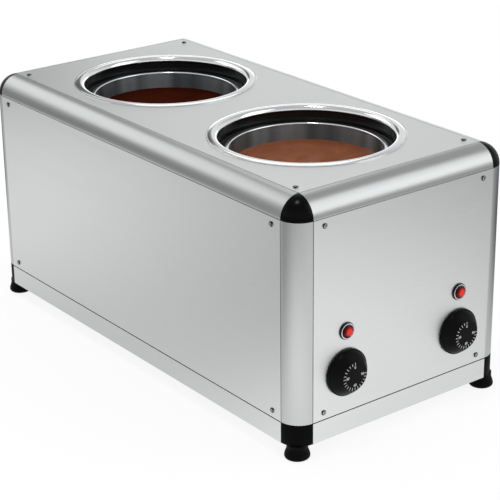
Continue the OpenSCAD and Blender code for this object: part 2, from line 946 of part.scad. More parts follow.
front_capillary = [
    [-control_offset, capillary_y, capillary_z],
    [-control_offset, capillary_y, capillary_z - 10],
    [-control_offset + 10, capillary_y + 6, capillary_z - 20],
    [-30, tab_y + 10, capillary_z - 20],
    [-6, -well_y - bulb_place - 4, capillary_z],
    [0, -well_y - bulb_place, capillary_z + 24],
    [0, -well_y - bulb_place, bulb_z + over]
];

rear_capillary = [
    [control_offset, capillary_y, capillary_z],
    [control_offset, capillary_y, capillary_z - 10],
    [control_offset + 14, capillary_y + 10, capillary_z - 20],
    [side_lane + 8, capillary_y + 36, capillary_z - 12],
    [side_lane + 8, -60, capillary_z - 10],
    [side_lane + 8, well_y - 70, capillary_z - 8],
    [side_lane, well_y - 8, capillary_z + 2],
    [bulb_place + 6, well_y, capillary_z + 28],
    [bulb_place, well_y, capillary_z + 50],
    [bulb_place, well_y, bulb_z + over]
];

// Pilot lamps

module lamp_bezel(side) {
    round = bezel_height / 2;
    color(chrome)
        on_front(side * control_offset, lamp_z)
            difference() {
                union() {
                    rotate_extrude() {
                        square([bezel_radius - round, bezel_height]);
                        square([bezel_radius, bezel_height - round]);
                        translate([bezel_radius - round, bezel_height - round]) circle(round);
                    }
                    translate([0, 0, -panel_sheet - barrel_reach])
                        cylinder(r = barrel_radius, h = panel_sheet + barrel_reach + over);
                    for (pin = ends)
                        translate([pin * pin_offset, 0, -panel_sheet - barrel_reach - pin_length])
                            cylinder(r = pin_radius, h = pin_length + over);
                }
                translate([0, 0, bezel_height - lens_seat])
                    cylinder(r = lens_radius + lens_play, h = lens_seat + over);
                translate([0, 0, bezel_height - lens_seat - stem_length])
                    cylinder(r = stem_radius + lens_play, h = stem_length + over);
            }
}

// A red lens cut with flat facets round its edge
module lamp_lens(side) {
    seat = bezel_height - lens_seat;
    crown = lens_seat + lens_height;
    color(lamp_red)
        on_front(side * control_offset, lamp_z)
            translate([0, 0, seat]) {
                intersection() {
                    cylinder(r = lens_radius, h = crown, $fn = lens_sides);
                    cylinder(r1 = lens_radius + lens_height, r2 = lens_radius - lens_height / 2, h = crown);
                }
                translate([0, 0, -stem_length]) cylinder(r = stem_radius, h = stem_length + over);
            }
}

module lamp_nuts() {
    color(steel)
        for (side = ends)
            on_front(side * control_offset, lamp_z)
                translate([0, 0, -panel_sheet - lamp_nut_height])
                    difference() {
                        hex_prism(lamp_nut_width, lamp_nut_height);
                        translate([0, 0, -over])
                            cylinder(r = barrel_radius + barrel_play, h = lamp_nut_height + 2 * over);
                    }
}

// Cable gland

module cable_gland() {
    color(black_plastic)
        on_rear(gland_offset, gland_z)
            difference() {
                union() {
                    hex_prism(gland_width, gland_height);
                    translate([0, 0, -panel_sheet - gland_reach])
                        cylinder(r = gland_thread, h = panel_sheet + gland_reach + over);
                }
                translate([0, 0, -panel_sheet - gland_reach - over])
                    cylinder(r = gland_bore, h = panel_sheet + gland_reach + gland_height + 2 * over);
            }
}

module gland_dome_cap() {
    color(black_plastic)
        on_rear(gland_offset, gland_z)
            translate([0, 0, gland_height])
                rotate_extrude()
                    difference() {
                        union() {
                            square([dome_radius, dome_height - dome_round]);
                            square([dome_radius - dome_round, dome_height]);
                            translate([dome_radius - dome_round, dome_height - dome_round]) circle(dome_round);
                        }
                        square([dome_opening, dome_height]);
                    }
}

module gland_lock_nut() {
    color(black_plastic)
        on_rear(gland_offset, gland_z)
            translate([0, 0, -panel_sheet - lock_nut_height])
                difference() {
                    hex_prism(gland_width, lock_nut_height);
                    translate([0, 0, -over])
                        cylinder(r = gland_thread + gland_play, h = lock_nut_height + 2 * over);
                }
}

// Wiring

function pole_x(pole) = (pole - (pole_count - 1) / 2) * pole_pitch;

module terminal_screw_places() {
    for (side = ends)
        translate([side * (terminal_body + terminal_ear) / 2, terminal_offset, floor_z + terminal_ear_height])
            children();
}

module terminal_block() {
    color(terminal_white)
        difference() {
            translate([0, terminal_offset, floor_z]) {
                translate([-terminal_body / 2, -terminal_width / 2, 0])
                    cube([terminal_body, terminal_width, terminal_height]);
                translate([-terminal_length / 2, -terminal_ear_width / 2, 0])
                    cube([terminal_length, terminal_ear_width, terminal_ear_height]);
            }
            for (pole = [0 : pole_count - 1]) {
                translate([pole_x(pole), terminal_front - over, pole_z])
                    rotate([-90, 0, 0]) cylinder(r = pole_hole, h = terminal_width + 2 * over);
                translate([pole_x(pole), terminal_offset, pole_z])
                    cylinder(r = pole_hole, h = terminal_height);
            }
            terminal_screw_places() sheet_hole(screw_radius + hole_play, terminal_ear_height);
        }
}

// The last stretch of a wire into its pole
function into_pole(pole) = [
    [pole_x(pole), terminal_front - 16, pole_z],
    [pole_x(pole), terminal_front + wire_end, pole_z]
];

// Supply from the terminal block to a thermostat's outer tab
function supply(side, pole) =
    let (x = side * (control_offset + tab_pitch))
    concat([
        [x, tab_y, knob_z],
        [x, tab_y + 14, knob_z],
        [x, tab_y + 28, lane_z + 8],
        [x, tab_y + 42, lane_z],
        [x, turn_y, lane_z]
    ], into_pole(pole));

// From a thermostat's inner tab up to the outer pin of its lamp
function lamp_feed(side) =
    let (inner = side * (control_offset - tab_pitch), outer = side * (control_offset + pin_offset))
    [
        [inner, tab_y, knob_z],
        [inner, tab_y + 9, knob_z],
        [inner + side * 3, tab_y + 16, knob_z + 17],
        [outer, tab_y + 10, lamp_z - 6],
        [outer, pin_y + 10, lamp_z],
        [outer, pin_y, lamp_z]
    ];

// From the inner pin of a lamp to the terminal block
function lamp_return(side, pole) =
    let (x = side * (control_offset - pin_offset), lane = side * inner_lane)
    concat([
        [x, pin_y, lamp_z],
        [x, pin_y + 14, lamp_z],
        [x, pin_y + 16, lamp_z - 24],
        [lane, tab_y + 34, lane_z + 60],
        [lane, tab_y + 52, lane_z],
        [lane, turn_y, lane_z]
    ], into_pole(pole));

front_lead_y = -well_y - lead_place;

front_heater_feed = [
    [-control_offset, tab_y, knob_z],
    [-control_offset, tab_y + 8, knob_z],
    [-control_offset, tab_y + 14, knob_z - 6],
    [-60, tab_y + 18, knob_z - 12],
    [-25, climb_y, knob_z + 22],
    [-lead_offset, climb_y, mat_middle - 15],
    [-lead_offset, front_lead_y - 9, mat_middle],
    [-lead_offset, front_lead_y, mat_middle]
];

front_heater_return = concat([
    [lead_offset, front_lead_y, mat_middle],
    [lead_offset, front_lead_y - 9, mat_middle],
    [lead_offset, climb_y, mat_middle - 15],
    [lead_offset + 4, climb_y + 2, knob_z + 10],
    [lead_offset + 6, tab_y + 28, lane_z + 16],
    [lead_offset + 4, tab_y + 42, lane_z],
    [pole_x(2), tab_y + 90, lane_z]
], into_pole(2));

rear_heater_feed = [
    [control_offset, tab_y, knob_z],
    [control_offset, tab_y + 12, knob_z],
    [control_offset, tab_y + 24, knob_z - 4],
    [control_offset, tab_y + 50, knob_z - 8],
    [side_lane, tab_y + 75, knob_z],
    [side_lane, well_y - 36, knob_z + 10],
    [side_lane - 4, well_y - lead_offset, mat_middle - 35],
    [lead_place + 12, well_y - lead_offset, mat_middle - 4],
    [lead_place, well_y - lead_offset, mat_middle]
];

rear_heater_return = concat([
    [lead_place, well_y + lead_offset, mat_middle],
    [lead_place + 12, well_y + lead_offset, mat_middle - 4],
    [side_lane - 4, well_y + lead_offset, mat_middle - 35],
    [side_lane - 4, well_y + lead_offset + 6, lane_z + 36],
    [side_lane - 8, well_y + lead_offset + 14, lane_z]
], into_pole(5));

wire_routes = [
    supply(-1, 0), lamp_return(-1, 1), front_heater_return,
    lamp_return(1, 3), supply(1, 4), rear_heater_return,
    lamp_feed(-1), lamp_feed(1), front_heater_feed, rear_heater_feed
];

module wiring_harness() {
    color(wire_grey)
        for (route = wire_routes) tube(route, wire_radius);
}

// Screws

module panel_screws() {
    color(screw_steel) {
        top_screw_places() small_screw();
        on_front(0, 0) end_screw_places() small_screw();
        mirror([0, 1, 0]) on_front(0, 0) end_screw_places() small_screw();
        for (side = ends) side_screw_places(side) small_screw();
    }
}

module base_screw_places() {
    inset = ear_screw_inset;
    for (side = ends, end = ends)
        under_pan(side * (post_x - inset), end * (post_y - inset)) children();
}

module base_screws() {
    color(screw_steel) {
        base_screw_places() small_screw();
        terminal_screw_places() small_screw();
    }
}

module foot_screws() {
    foot_place = profile_radius - foot_inset;
    color(screw_steel)
        for (side = ends, end = ends)
            at_corner(side, end)
                translate([foot_place, foot_place, foot_pocket])
                    rotate([180, 0, 0])
                        pan_screw(fixing_radius, foot_screw_length, fixing_head_radius, fixing_head_height);
}

module thermostat_screws() {
    color(screw_steel)
        for (side = ends, fixing = ends)
            on_front(side * control_offset + fixing * fixing_spacing / 2, knob_z)
                pan_screw(fixing_radius, fixing_length, fixing_head_radius, fixing_head_height);
}

corner_post(-1, -1);  // post_front_left
corner_post(1, -1);  // post_front_right
corner_post(-1, 1);  // post_rear_left
corner_post(1, 1);  // post_rear_right
side_rail(-1);  // rail_left
side_rail(1);  // rail_right
end_rail(-1);  // rail_front
end_rail(1);  // rail_rear
corner_cap(-1, -1);  // corner_cap_front_left
corner_cap(1, -1);  // corner_cap_front_right
corner_cap(-1, 1);  // corner_cap_rear_left
corner_cap(1, 1);  // corner_cap_rear_right
foot_block(-1, -1);  // foot_block_front_left
foot_block(1, -1);  // foot_block_front_right
foot_block(-1, 1);  // foot_block_rear_left
foot_block(1, 1);  // foot_block_rear_right
foot(-1, -1);  // foot_front_left
foot(1, -1);  // foot_front_right
foot(-1, 1);  // foot_rear_left
foot(1, 1);  // foot_rear_right
top_panel();
front_panel();
rear_panel();
side_panel(-1);  // left_panel
side_panel(1);  // right_panel
base_pan();
well(-1);  // well_front
well(1);  // well_rear
well_seal(-1);  // well_seal_front
well_seal(1);  // well_seal_rear
pot(-1);  // pot_front
pot(1);  // pot_rear
chocolate(-1, milk_chocolate);  // chocolate_front
chocolate(1, dark_chocolate);  // chocolate_rear
heating_mat(-1, front_slot);  // heating_mat_front
heating_mat(1, rear_slot);  // heating_mat_rear
insulation(-1, front_slot);  // insulation_front
insulation(1, rear_slot);  // insulation_rear
knob(-1);  // knob_left
knob(1);  // knob_right
thermostat_shaft(-1);  // thermostat_shaft_left
thermostat_shaft(1);  // thermostat_shaft_right
thermostat(-1);  // thermostat_left
thermostat(1);  // thermostat_right
sensor(-1, front_slot, front_capillary);  // sensor_front
sensor(1, rear_slot, rear_capillary);  // sensor_rear
lamp_bezel(-1);  // lamp_bezel_left
lamp_bezel(1);  // lamp_bezel_right
lamp_lens(-1);  // lamp_lens_left
lamp_lens(1);  // lamp_lens_right
lamp_nuts();
cable_gland();
gland_dome_cap();
gland_lock_nut();
terminal_block();
wiring_harness();
panel_screws();
base_screws();
foot_screws();
thermostat_screws();
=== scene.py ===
"""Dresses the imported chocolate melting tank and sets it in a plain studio."""
from __future__ import annotations

import logging
import math
from collections.abc import Callable, Sequence
from dataclasses import dataclass
from enum import Enum

import bpy
from mathutils import Matrix, Quaternion, Vector


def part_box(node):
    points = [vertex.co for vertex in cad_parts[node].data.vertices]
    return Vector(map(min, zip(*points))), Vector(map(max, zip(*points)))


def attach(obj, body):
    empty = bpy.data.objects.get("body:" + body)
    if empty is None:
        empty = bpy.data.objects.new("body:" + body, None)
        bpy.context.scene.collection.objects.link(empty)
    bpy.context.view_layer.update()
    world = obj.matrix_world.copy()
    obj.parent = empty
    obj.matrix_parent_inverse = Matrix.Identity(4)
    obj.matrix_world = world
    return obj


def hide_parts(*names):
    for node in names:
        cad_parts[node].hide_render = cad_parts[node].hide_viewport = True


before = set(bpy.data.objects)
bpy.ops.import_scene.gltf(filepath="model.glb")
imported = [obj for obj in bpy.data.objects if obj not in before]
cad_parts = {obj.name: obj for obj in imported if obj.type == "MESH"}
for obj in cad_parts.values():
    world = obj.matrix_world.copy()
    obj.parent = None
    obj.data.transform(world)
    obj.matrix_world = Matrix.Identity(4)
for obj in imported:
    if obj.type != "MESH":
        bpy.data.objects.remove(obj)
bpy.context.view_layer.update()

Piece = bpy.types.Object
Tree = bpy.types.NodeTree
Node = bpy.types.Node
Socket = bpy.types.NodeSocket
Point2 = tuple[float, float]
Point3 = tuple[float, float, float]
Feed = float | Sequence[float] | Socket
Choice = Callable[[Vector, Vector], bool]

LOG = logging.getLogger("melting_tank")
MM = 0.001
# Where a colour mix takes its two colours, and where it gives its result.
COLOUR_A, COLOUR_B, COLOUR_OUT = 6, 7, 2
# The range that most of a noise lies in.
NOISE_RANGE = (0.3, 0.7)
# A face looks along an axis when its normal's share along that axis is over this.
FACING = 0.9
# A face looks down when its normal's height is under this.
DOWNWARD = -0.5
# Points nearer to each other than this are one point.
DOUBLED = 0.002 * MM
# Turns a piece's own Z axis to the front, and to the rear.
FACE_FRONT = Matrix.Rotation(math.pi / 2, 4, "X")
FACE_REAR = Matrix.Rotation(-math.pi / 2, 4, "X")


class Grain(Enum):
    """The axis that a sheet is brushed along, or a profile drawn along."""

    ALONG_X = 0
    ALONG_Y = 1
    ALONG_Z = 2


class Way(Enum):
    """A way out from the middle, as a sign along an axis."""

    @property
    def word(self) -> str:
        """The way's word in the names of the pieces."""
        return self.name.lower()


class Side(Way):
    """The two long sides, along X."""

    LEFT = -1
    RIGHT = 1


class End(Way):
    """The two short ends, along Y."""

    FRONT = -1
    REAR = 1


def linear(colour: str) -> tuple[float, float, float, float]:
    """Turns an sRGB hex colour to linear values.

    Args:
        colour: Six hex digits after a hash sign.

    Returns:
        Linear red, green and blue, and an alpha of 1.
    """
    parts = (int(colour[start:start + 2], 16) / 255 for start in (1, 3, 5))
    bent = [part / 12.92 if part <= 0.04045 else ((part + 0.055) / 1.055) ** 2.4 for part in parts]
    return bent[0], bent[1], bent[2], 1.0


def feed(tree: Tree, node: Node, feeds: dict[str | int, Feed]) -> None:
    """Sets or links a node's inputs.

    Args:
        tree: The node tree that the node is in.
        node: The node.
        feeds: What goes into its inputs: a value, or the socket of another node.
    """
    for key, value in feeds.items():
        if isinstance(value, Socket):
            tree.links.new(value, node.inputs[key])
        else:
            node.inputs[key].default_value = value


def add_node(tree: Tree, kind: str, feeds: dict[str | int, Feed] | None = None, **settings: object) -> Node:
    """Adds a node, applies its settings, and sets or links its inputs.

    Args:
        tree: The node tree that takes it.
        kind: The node's type.
        feeds: What goes into its inputs: a value, or the socket of another node.
        **settings: The node's own properties.

    Returns:
        The new node.
    """
    node = tree.nodes.new(kind)
    for name, value in settings.items():
        setattr(node, name, value)
    feed(tree, node, feeds or {})
    return node


def maths(tree: Tree, operation: str, *values: Feed) -> Socket:
    """Adds a step of plain arithmetic and gives its result."""
    return add_node(tree, "ShaderNodeMath", dict(enumerate(values)), operation=operation).outputs[0]


def vectors(tree: Tree, operation: str, *values: Feed, out: str = "Vector") -> Socket:
    """Adds a step of vector arithmetic and gives its result, a vector or a value."""
    return add_node(tree, "ShaderNodeVectorMath", dict(enumerate(values)), operation=operation).outputs[out]


def span(
    tree: Tree, value: Socket, start: float, end: float, low: float, high: float, smooth: bool = False
) -> Socket:
    """Maps a value from one range to another.

    Args:
        tree: The node tree.
        value: The value.
        start: Where its range starts.
        end: Where its range ends.
        low: What the start becomes.
        high: What the end becomes.
        smooth: Whether it eases in and out.

    Returns:
        The mapped value.
    """
    feeds = {"Value": value, "From Min": start, "From Max": end, "To Min": low, "To Max": high}
    bend = "SMOOTHSTEP" if smooth else "LINEAR"
    return add_node(tree, "ShaderNodeMapRange", feeds, interpolation_type=bend).outputs[0]


def noise(
    tree: Tree, place: Socket, size: float, detail: float, roughness: float = 0.5, distortion: float = 0.0
) -> Socket:
    """Adds noise of a given size.

    Args:
        tree: The node tree.
        place: Where it is read.
        size: The size of its largest features.
        detail: How many finer layers it has.
        roughness: How strong the finer layers are.
        distortion: How far it is swirled.

    Returns:
        The noise.
    """
    feeds = {"Vector": place, "Scale": 1 / size, "Detail": detail, "Roughness": roughness,
             "Distortion": distortion}
    return add_node(tree, "ShaderNodeTexNoise", feeds).outputs[0]


def blend(tree: Tree, share: Socket, first: str, second: str) -> Socket:
    """Mixes two colours, all of the second where the share is 1."""
    feeds = {0: share, COLOUR_A: linear(first), COLOUR_B: linear(second)}
    return add_node(tree, "ShaderNodeMix", feeds, data_type="RGBA").outputs[COLOUR_OUT]


def choose(tree: Tree, share: Socket, first: Feed, second: Feed) -> Socket:
    """Mixes two values, all of the second where the share is 1."""
    return add_node(tree, "ShaderNodeMix", {0: share, 2: first, 3: second}, data_type="FLOAT").outputs[0]


def emboss(tree: Tree, height: Socket, depth: float, strength: float) -> Socket:
    """Turns a pattern to the normal of a surface that it is pressed in."""
    feeds = {"Height": height, "Distance": depth, "Strength": strength}
    return add_node(tree, "ShaderNodeBump", feeds).outputs[0]


def object_place(tree: Tree) -> Socket:
    """Gives the place on the object."""
    return add_node(tree, "ShaderNodeTexCoord").outputs["Object"]


def off_axis(tree: Tree, axis: Point3, across: Point3) -> Socket:
    """Gives the way to a place from an axis.

    Args:
        tree: The node tree.
        axis: A point on the axis.
        across: 1 for the directions square to the axis, and 0 for its own.

    Returns:
        The way, with nothing along the axis.
    """
    back = [-part for part in axis]
    moved = add_node(tree, "ShaderNodeMapping", {"Vector": object_place(tree), "Location": back})
    return vectors(tree, "MULTIPLY", moved.outputs[0], across)


def arc(centre: Point2, radius: float, start: float, end: float, steps: int) -> list[Point2]:
    """Lays points along a part of a circle.

    Args:
        centre: The circle's middle.
        radius: Its radius.
        start: The first angle, in degrees.
        end: The last angle, in degrees.
        steps: The number of pieces that the arc is cut in.

    Returns:
        The points, both ends with them.
    """
    angles = [math.radians(start + (end - start) * step / steps) for step in range(steps + 1)]
    return [(centre[0] + radius * math.cos(a), centre[1] + radius * math.sin(a)) for a in angles]


@dataclass(frozen=True)
class Finish:
    """A surface finish, kept as one Blender material.

    Attributes:
        name: The material's common name and how its surface was made.
        slot: The slot that it stands for; not used.
    """

    name: str
    slot: str

    def paint(self, tree: Tree, shader: Node) -> None:
        """Lays the finish's pattern on the shader."""
        raise NotImplementedError

    def material(self) -> bpy.types.Material:
        """Makes the material once, and gives the same one after that.

        Returns:
            The material.
        """
        found = bpy.data.materials.get(self.name)
        if found is not None:
            return found
        made = bpy.data.materials.new(self.name)
        made.use_nodes = True
        self.paint(made.node_tree, made.node_tree.nodes["Principled BSDF"])
        return made


@dataclass(frozen=True)
class TwoTone(Finish):
    """A finish that a pattern swings between two tones.

    Attributes:
        colour: Its main or brighter tone.
        shade: Its second or duller tone.
        roughness: The middle of its roughness.
    """

    colour: str
    shade: str
    roughness: float

    def tone(self, tree: Tree, pattern: Socket) -> Socket:
        """Gives the tone that goes with a pattern."""
        return blend(tree, pattern, self.shade, self.colour)

    def rough(self, tree: Tree, pattern: Socket, swing: float, between: Point2 = (0.0, 1.0)) -> Socket:
        """Swings the roughness by a pattern, to both sides of its middle."""
        return span(tree, pattern, *between, self.roughness - swing, self.roughness + swing)


@dataclass(frozen=True)
class Moulded(TwoTone):
    """Plastic, rubber or felt: one colour with a faint mottle and a moulded skin.

    Attributes:
        skin: The size of the skin's texture, in metres.
        relief: The height of that texture, in metres.
        gloss: The shader's specular level.
        mottle: How many times larger the mottle is than the skin's texture.
    """

    skin: float = 1.2 * MM
    relief: float = 0.03 * MM
    gloss: float = 0.5
    mottle: float = 20.0

    def paint(self, tree: Tree, shader: Node) -> None:
        """Lays the mottle and the skin on the shader.

        Args:
            tree: The material's node tree.
            shader: Its shader.
        """
        place = object_place(tree)
        skin = noise(tree, place, self.skin, detail=3.0)
        cloud = noise(tree, place, self.mottle * self.skin, detail=4.0)
        feed(tree, shader, {
            "Base Color": self.tone(tree, cloud),
            "Roughness": self.rough(tree, cloud, swing=0.06),
            "Normal": emboss(tree, skin, self.relief, strength=0.6),
            "Specular IOR Level": self.gloss,
        })


@dataclass(frozen=True)
class PlainMetal(TwoTone):
    """Plated or bare metal with a soft mottle and no lines.

    Attributes:
        patch: The size of the mottle, in metres.
    """

    patch: float = 6 * MM

    def paint(self, tree: Tree, shader: Node) -> None:
        """Lays the mottle on the shader.

        Args:
            tree: The material's node tree.
            shader: Its shader.
        """
        cloud = noise(tree, object_place(tree), self.patch, detail=3.0)
        feed(tree, shader, {
            "Base Color": self.tone(tree, cloud),
            "Roughness": self.rough(tree, cloud, swing=0.2 * self.roughness),
            "Metallic": 1.0,
        })


@dataclass(frozen=True)
class BrushedMetal(TwoTone):
    """Sheet brushed by an abrasive belt, or a profile drawn through a die.

    Attributes:
        grain: The axis that the lines run along.
        line_width: The distance between lines, in metres.
        line_length: The length of a line, in metres.
        relief: The depth of a line, in metres.
    """

    grain: Grain
    line_width: float = 1.3 * MM
    line_length: float = 130 * MM
    relief: float = 0.02 * MM

    def paint(self, tree: Tree, shader: Node) -> None:
        """Lays the brush lines on the shader.

        Args:
            tree: The material's node tree.
            shader: Its shader.
        """
        scale = [1 / self.line_width] * 3
        scale[self.grain.value] = 1 / self.line_length
        along = add_node(tree, "ShaderNodeMapping", {"Vector": object_place(tree), "Scale": scale})
        lines = noise(tree, along.outputs[0], 1.0, detail=4.0, roughness=0.7)
        feed(tree, shader, {
            "Base Color": self.tone(tree, lines),
            "Roughness": self.rough(tree, lines, swing=0.05, between=NOISE_RANGE),
            "Normal": emboss(tree, lines, self.relief, strength=0.5),
            "Metallic": 1.0,
        })


@dataclass(frozen=True)
class SpunSteel(TwoTone):
    """Drawn or turned steel with faint rings about its own axis, and, where bands are set, upright bands
    painted into its tone as reflections.

    Attributes:
        centre: The axis, as X and Y.
        ring: The distance between rings, in metres.
        relief: The depth of a ring, in metres.
        bands: How much darker the dullest upright bands of the wall are: painted reflections in the tone.
        band_width: The width of a band, as a share of the wall's radius.
        band_range: The range of the noise that goes from the dullest band to the brightest.
        stretch: How far the turning marks draw its highlights out along the axis.
    """

    centre: Point2
    ring: float = 1.6 * MM
    relief: float = 0.004 * MM
    bands: float = 0.0
    band_width: float = 1 / 3.4
    band_range: Point2 = (0.35, 0.65)
    stretch: float = 0.0

    def paint(self, tree: Tree, shader: Node) -> None:
        """Lays the rings and the painted reflection bands on the shader.

        Args:
            tree: The material's node tree.
            shader: Its shader.
        """
        flat = off_axis(tree, (*self.centre, 0.0), (1.0, 1.0, 0.0))
        height = add_node(tree, "ShaderNodeSeparateXYZ", {0: object_place(tree)}).outputs["Z"]
        reach = maths(tree, "ADD", vectors(tree, "LENGTH", flat, out="Value"), height)
        rings = add_node(
            tree, "ShaderNodeTexNoise", {"W": reach, "Scale": 1 / self.ring, "Detail": 3.0},
            noise_dimensions="1D").outputs[0]
        heading = vectors(tree, "NORMALIZE", flat)
        stripes = noise(tree, heading, self.band_width, detail=1.0)
        share = span(tree, stripes, *self.band_range, 1 - self.bands, 1.0)
        # Upright bands painted into the tone, standing in for the wall's reflections.
        tone_with_painted_bands = add_node(
            tree, "ShaderNodeVectorMath", {0: self.tone(tree, rings), "Scale": share}, operation="SCALE")
        feed(tree, shader, {
            "Base Color": tone_with_painted_bands.outputs[0],
            "Roughness": self.rough(tree, rings, swing=0.3 * self.roughness, between=NOISE_RANGE),
            "Normal": emboss(tree, rings, self.relief, strength=0.4),
            "Tangent": vectors(tree, "CROSS_PRODUCT", heading, (0.0, 0.0, 1.0)),
            "Anisotropic": self.stretch,
            "Anisotropic Rotation": 0.25,
            "Metallic": 1.0,
        })


@dataclass(frozen=True)
class MeltedChocolate(TwoTone):
    """Warm couverture, glossy and thick, with slow swirls of fat and cocoa.

    Attributes:
        roughness: The middle of its roughness.
        gloss: The shader's specular level.
        swirl: The size of a swirl, in metres.
        wave: The height of its waves, in metres.
    """

    roughness: float = 0.22
    gloss: float = 0.1
    swirl: float = 45 * MM
    wave: float = 0.5 * MM

    def paint(self, tree: Tree, shader: Node) -> None:
        """Lays the swirls on the shader.

        Args:
            tree: The material's node tree.
            shader: Its shader.
        """
        swirls = noise(tree, object_place(tree), self.swirl, detail=3.0, distortion=1.4)
        feed(tree, shader, {
            "Base Color": self.tone(tree, swirls),
            "Roughness": self.rough(tree, swirls, swing=0.05, between=NOISE_RANGE),
            "Normal": emboss(tree, swirls, self.wave, strength=0.35),
            "Specular IOR Level": self.gloss,
        })


@dataclass(frozen=True)
class LampAcrylic(Finish):
    """Clear red acrylic over a small lamp: bright in the middle, dark at the rim.

    Attributes:
        glow: The tone in the middle.
        rim: The tone at the edge.
        centre: The lamp's axis, as X and Z.
        radius: The lens's radius, in metres.
        fade: Where the glow starts to fade and where it ends, as shares of the radius.
    """

    glow: str
    rim: str
    centre: Point2
    radius: float
    fade: Point2 = (0.3, 0.82)

    def paint(self, tree: Tree, shader: Node) -> None:
        """Lays the glow on the shader.

        Args:
            tree: The material's node tree.
            shader: Its shader.
        """
        flat = off_axis(tree, (self.centre[0], 0.0, self.centre[1]), (1.0, 0.0, 1.0))
        away = vectors(tree, "LENGTH", flat, out="Value")
        start, end = (share * self.radius for share in self.fade)
        tone = blend(tree, span(tree, away, start, end, 0.0, 1.0, smooth=True), self.glow, self.rim)
        feed(tree, shader, {
            "Base Color": tone,
            "Emission Color": tone,
            "Emission Strength": 0.1,
            "Roughness": 0.1,
            "IOR": 1.49,
            "Specular IOR Level": 0.16,
        })


def sheet_steel(word: str, grain: Grain) -> BrushedMetal:
    """Gives the finish of sheets that are brushed along one axis."""
    return BrushedMetal(f"brushed_stainless_{word}", "brushed_steel", "#DBDCDC", "#CDCFCF", 0.36, grain)


def drawn_profile(word: str, grain: Grain) -> BrushedMetal:
    """Gives the finish of profiles that run along one axis.

    Args:
        word: What the material's name calls them.
        grain: The axis.

    Returns:
        The finish.
    """
    return BrushedMetal(
        f"satin_anodised_aluminium_{word}", "satin_aluminium", "#BEC0C0", "#B2B4B4", 0.32, grain,
        line_width=0.9 * MM, line_length=260 * MM, relief=0.008 * MM)


# Stainless sheet, belt brushed: long fine lines that blur what it mirrors. Real lines are a tenth of a
# millimetre apart, so they are drawn coarser to show.
SIDE_SHEET = sheet_steel("side", Grain.ALONG_Y)
END_SHEET = sheet_steel("end", Grain.ALONG_X)
# Aluminium profile, drawn and satin anodised: smoother than the sheet, with soft bands along its length.
POST_PROFILE = drawn_profile("post", Grain.ALONG_Z)
SIDE_PROFILE = drawn_profile("side", Grain.ALONG_Y)
END_PROFILE = drawn_profile("end", Grain.ALONG_X)
# Black ABS from a polished mould: deep, with a soft clear highlight.
CAP_PLASTIC = Moulded("moulded_black_abs", "black_plastic", "#020202", "#010101", 0.23, gloss=0.09)
# The same plastic from a sand-blasted mould: the foot blocks show no highlight.
BLOCK_PLASTIC = Moulded("matt_black_abs", "black_plastic", "#060606", "#040404", 0.5, gloss=0.04)
# Phenolic knob: a little duller than the caps, with a fine grain.
KNOB_PLASTIC = Moulded(
    "moulded_black_phenolic", "knob_plastic", "#0B0B0C", "#070707", 0.36, skin=0.8 * MM, gloss=0.06)
# Moulded rubber: matt and faintly dusty.
FOOT_RUBBER = Moulded(
    "moulded_black_rubber", "foot_rubber", "#080808", "#050505", 0.5, relief=0.05 * MM, gloss=0.06)
# Silicone seal: a soft dark band under each flange.
SEAL_SILICONE = Moulded("black_silicone_rubber", "seal_silicone", "#1A1B1C", "#121212", 0.5)
# Silicone heating mat: brick orange with a fabric texture.
HEATER_SILICONE = Moulded(
    "orange_silicone_mat", "heater_silicone", "#B4552C", "#9E4723", 0.6, skin=2 * MM, relief=0.2 * MM)
# Mineral wool: pale yellow, loose and dull.
MINERAL_WOOL = Moulded(
    "pressed_mineral_wool", "mineral_wool", "#C9B77E", "#AE9A60", 0.95, skin=3 * MM, relief=0.9 * MM)
# Polyamide gland: black and satin.
GLAND_NYLON = Moulded("moulded_black_polyamide", "gland_nylon", "#18191A", "#101011", 0.42)
# Thermostat body: cream phenolic under a pressed cover.
THERMOSTAT_BODY = Moulded("moulded_cream_phenolic", "thermostat_body", "#D9CFB4", "#C9BE9F", 0.45)
# Terminal block: white polyamide, slightly milky.
TERMINAL_PLASTIC = Moulded("moulded_white_polyamide", "terminal_plastic", "#E4E2DA", "#D4D2CA", 0.42)
# Silicone-covered wire: smooth grey.
WIRE_INSULATION = Moulded("grey_wire_insulation", "wire_insulation", "#6F7478", "#60656A", 0.45)
# Zinc-plated screws: bright with a cool mottle.
PLATED_STEEL = PlainMetal("zinc_plated_steel", "plated_steel", "#B9BCBE", "#9A9DA0", 0.3, patch=2 * MM)
# Painted shade on the slope of the screw heads: near-black steel that reads as a dark ring round a bright
# middle.
SCREW_SLOPE_PAINTED_SHADE = PlainMetal("screw_slope_painted_shade", "plated_steel", "#161718", "#0E0F10", 0.4, patch=2 * MM)
# Copper tube: warm, with a light brown tarnish.
COPPER = PlainMetal("tarnished_copper", "copper", "#C98A63", "#A0623F", 0.32, patch=9 * MM)
# Chrome plate: a near mirror, so the bezel's lip shows bright crescents; the dark crescent round it is
# painted shade on the outer slope.
CHROME = PlainMetal("polished_chrome_plate", "chrome", "#D4D6D8", "#C4C6C8", 0.08)
# Painted shade on the bezel's outer slope: a dark crescent round the bright lip.
BEZEL_SLOPE_PAINTED_SHADE = PlainMetal("bezel_slope_painted_shade", "chrome", "#2B2E31", "#1E2022", 0.22)
# White ink, pad printed on the dial.
DIAL_INK = Moulded("white_printing_ink", "knob_plastic", "#D0D0CE", "#BEBEBC", 0.5, relief=0.005 * MM)
# Melted couverture: thick and glossy, brown with milk in the front pot and nearly black in the rear one.
MILK_CHOCOLATE = MeltedChocolate("melted_milk_chocolate", "milk_chocolate", "#935B40", "#5F341E", gloss=0.05)
DARK_CHOCOLATE = MeltedChocolate("melted_dark_chocolate", "dark_chocolate", "#3A1408", "#260A04", gloss=0.002)


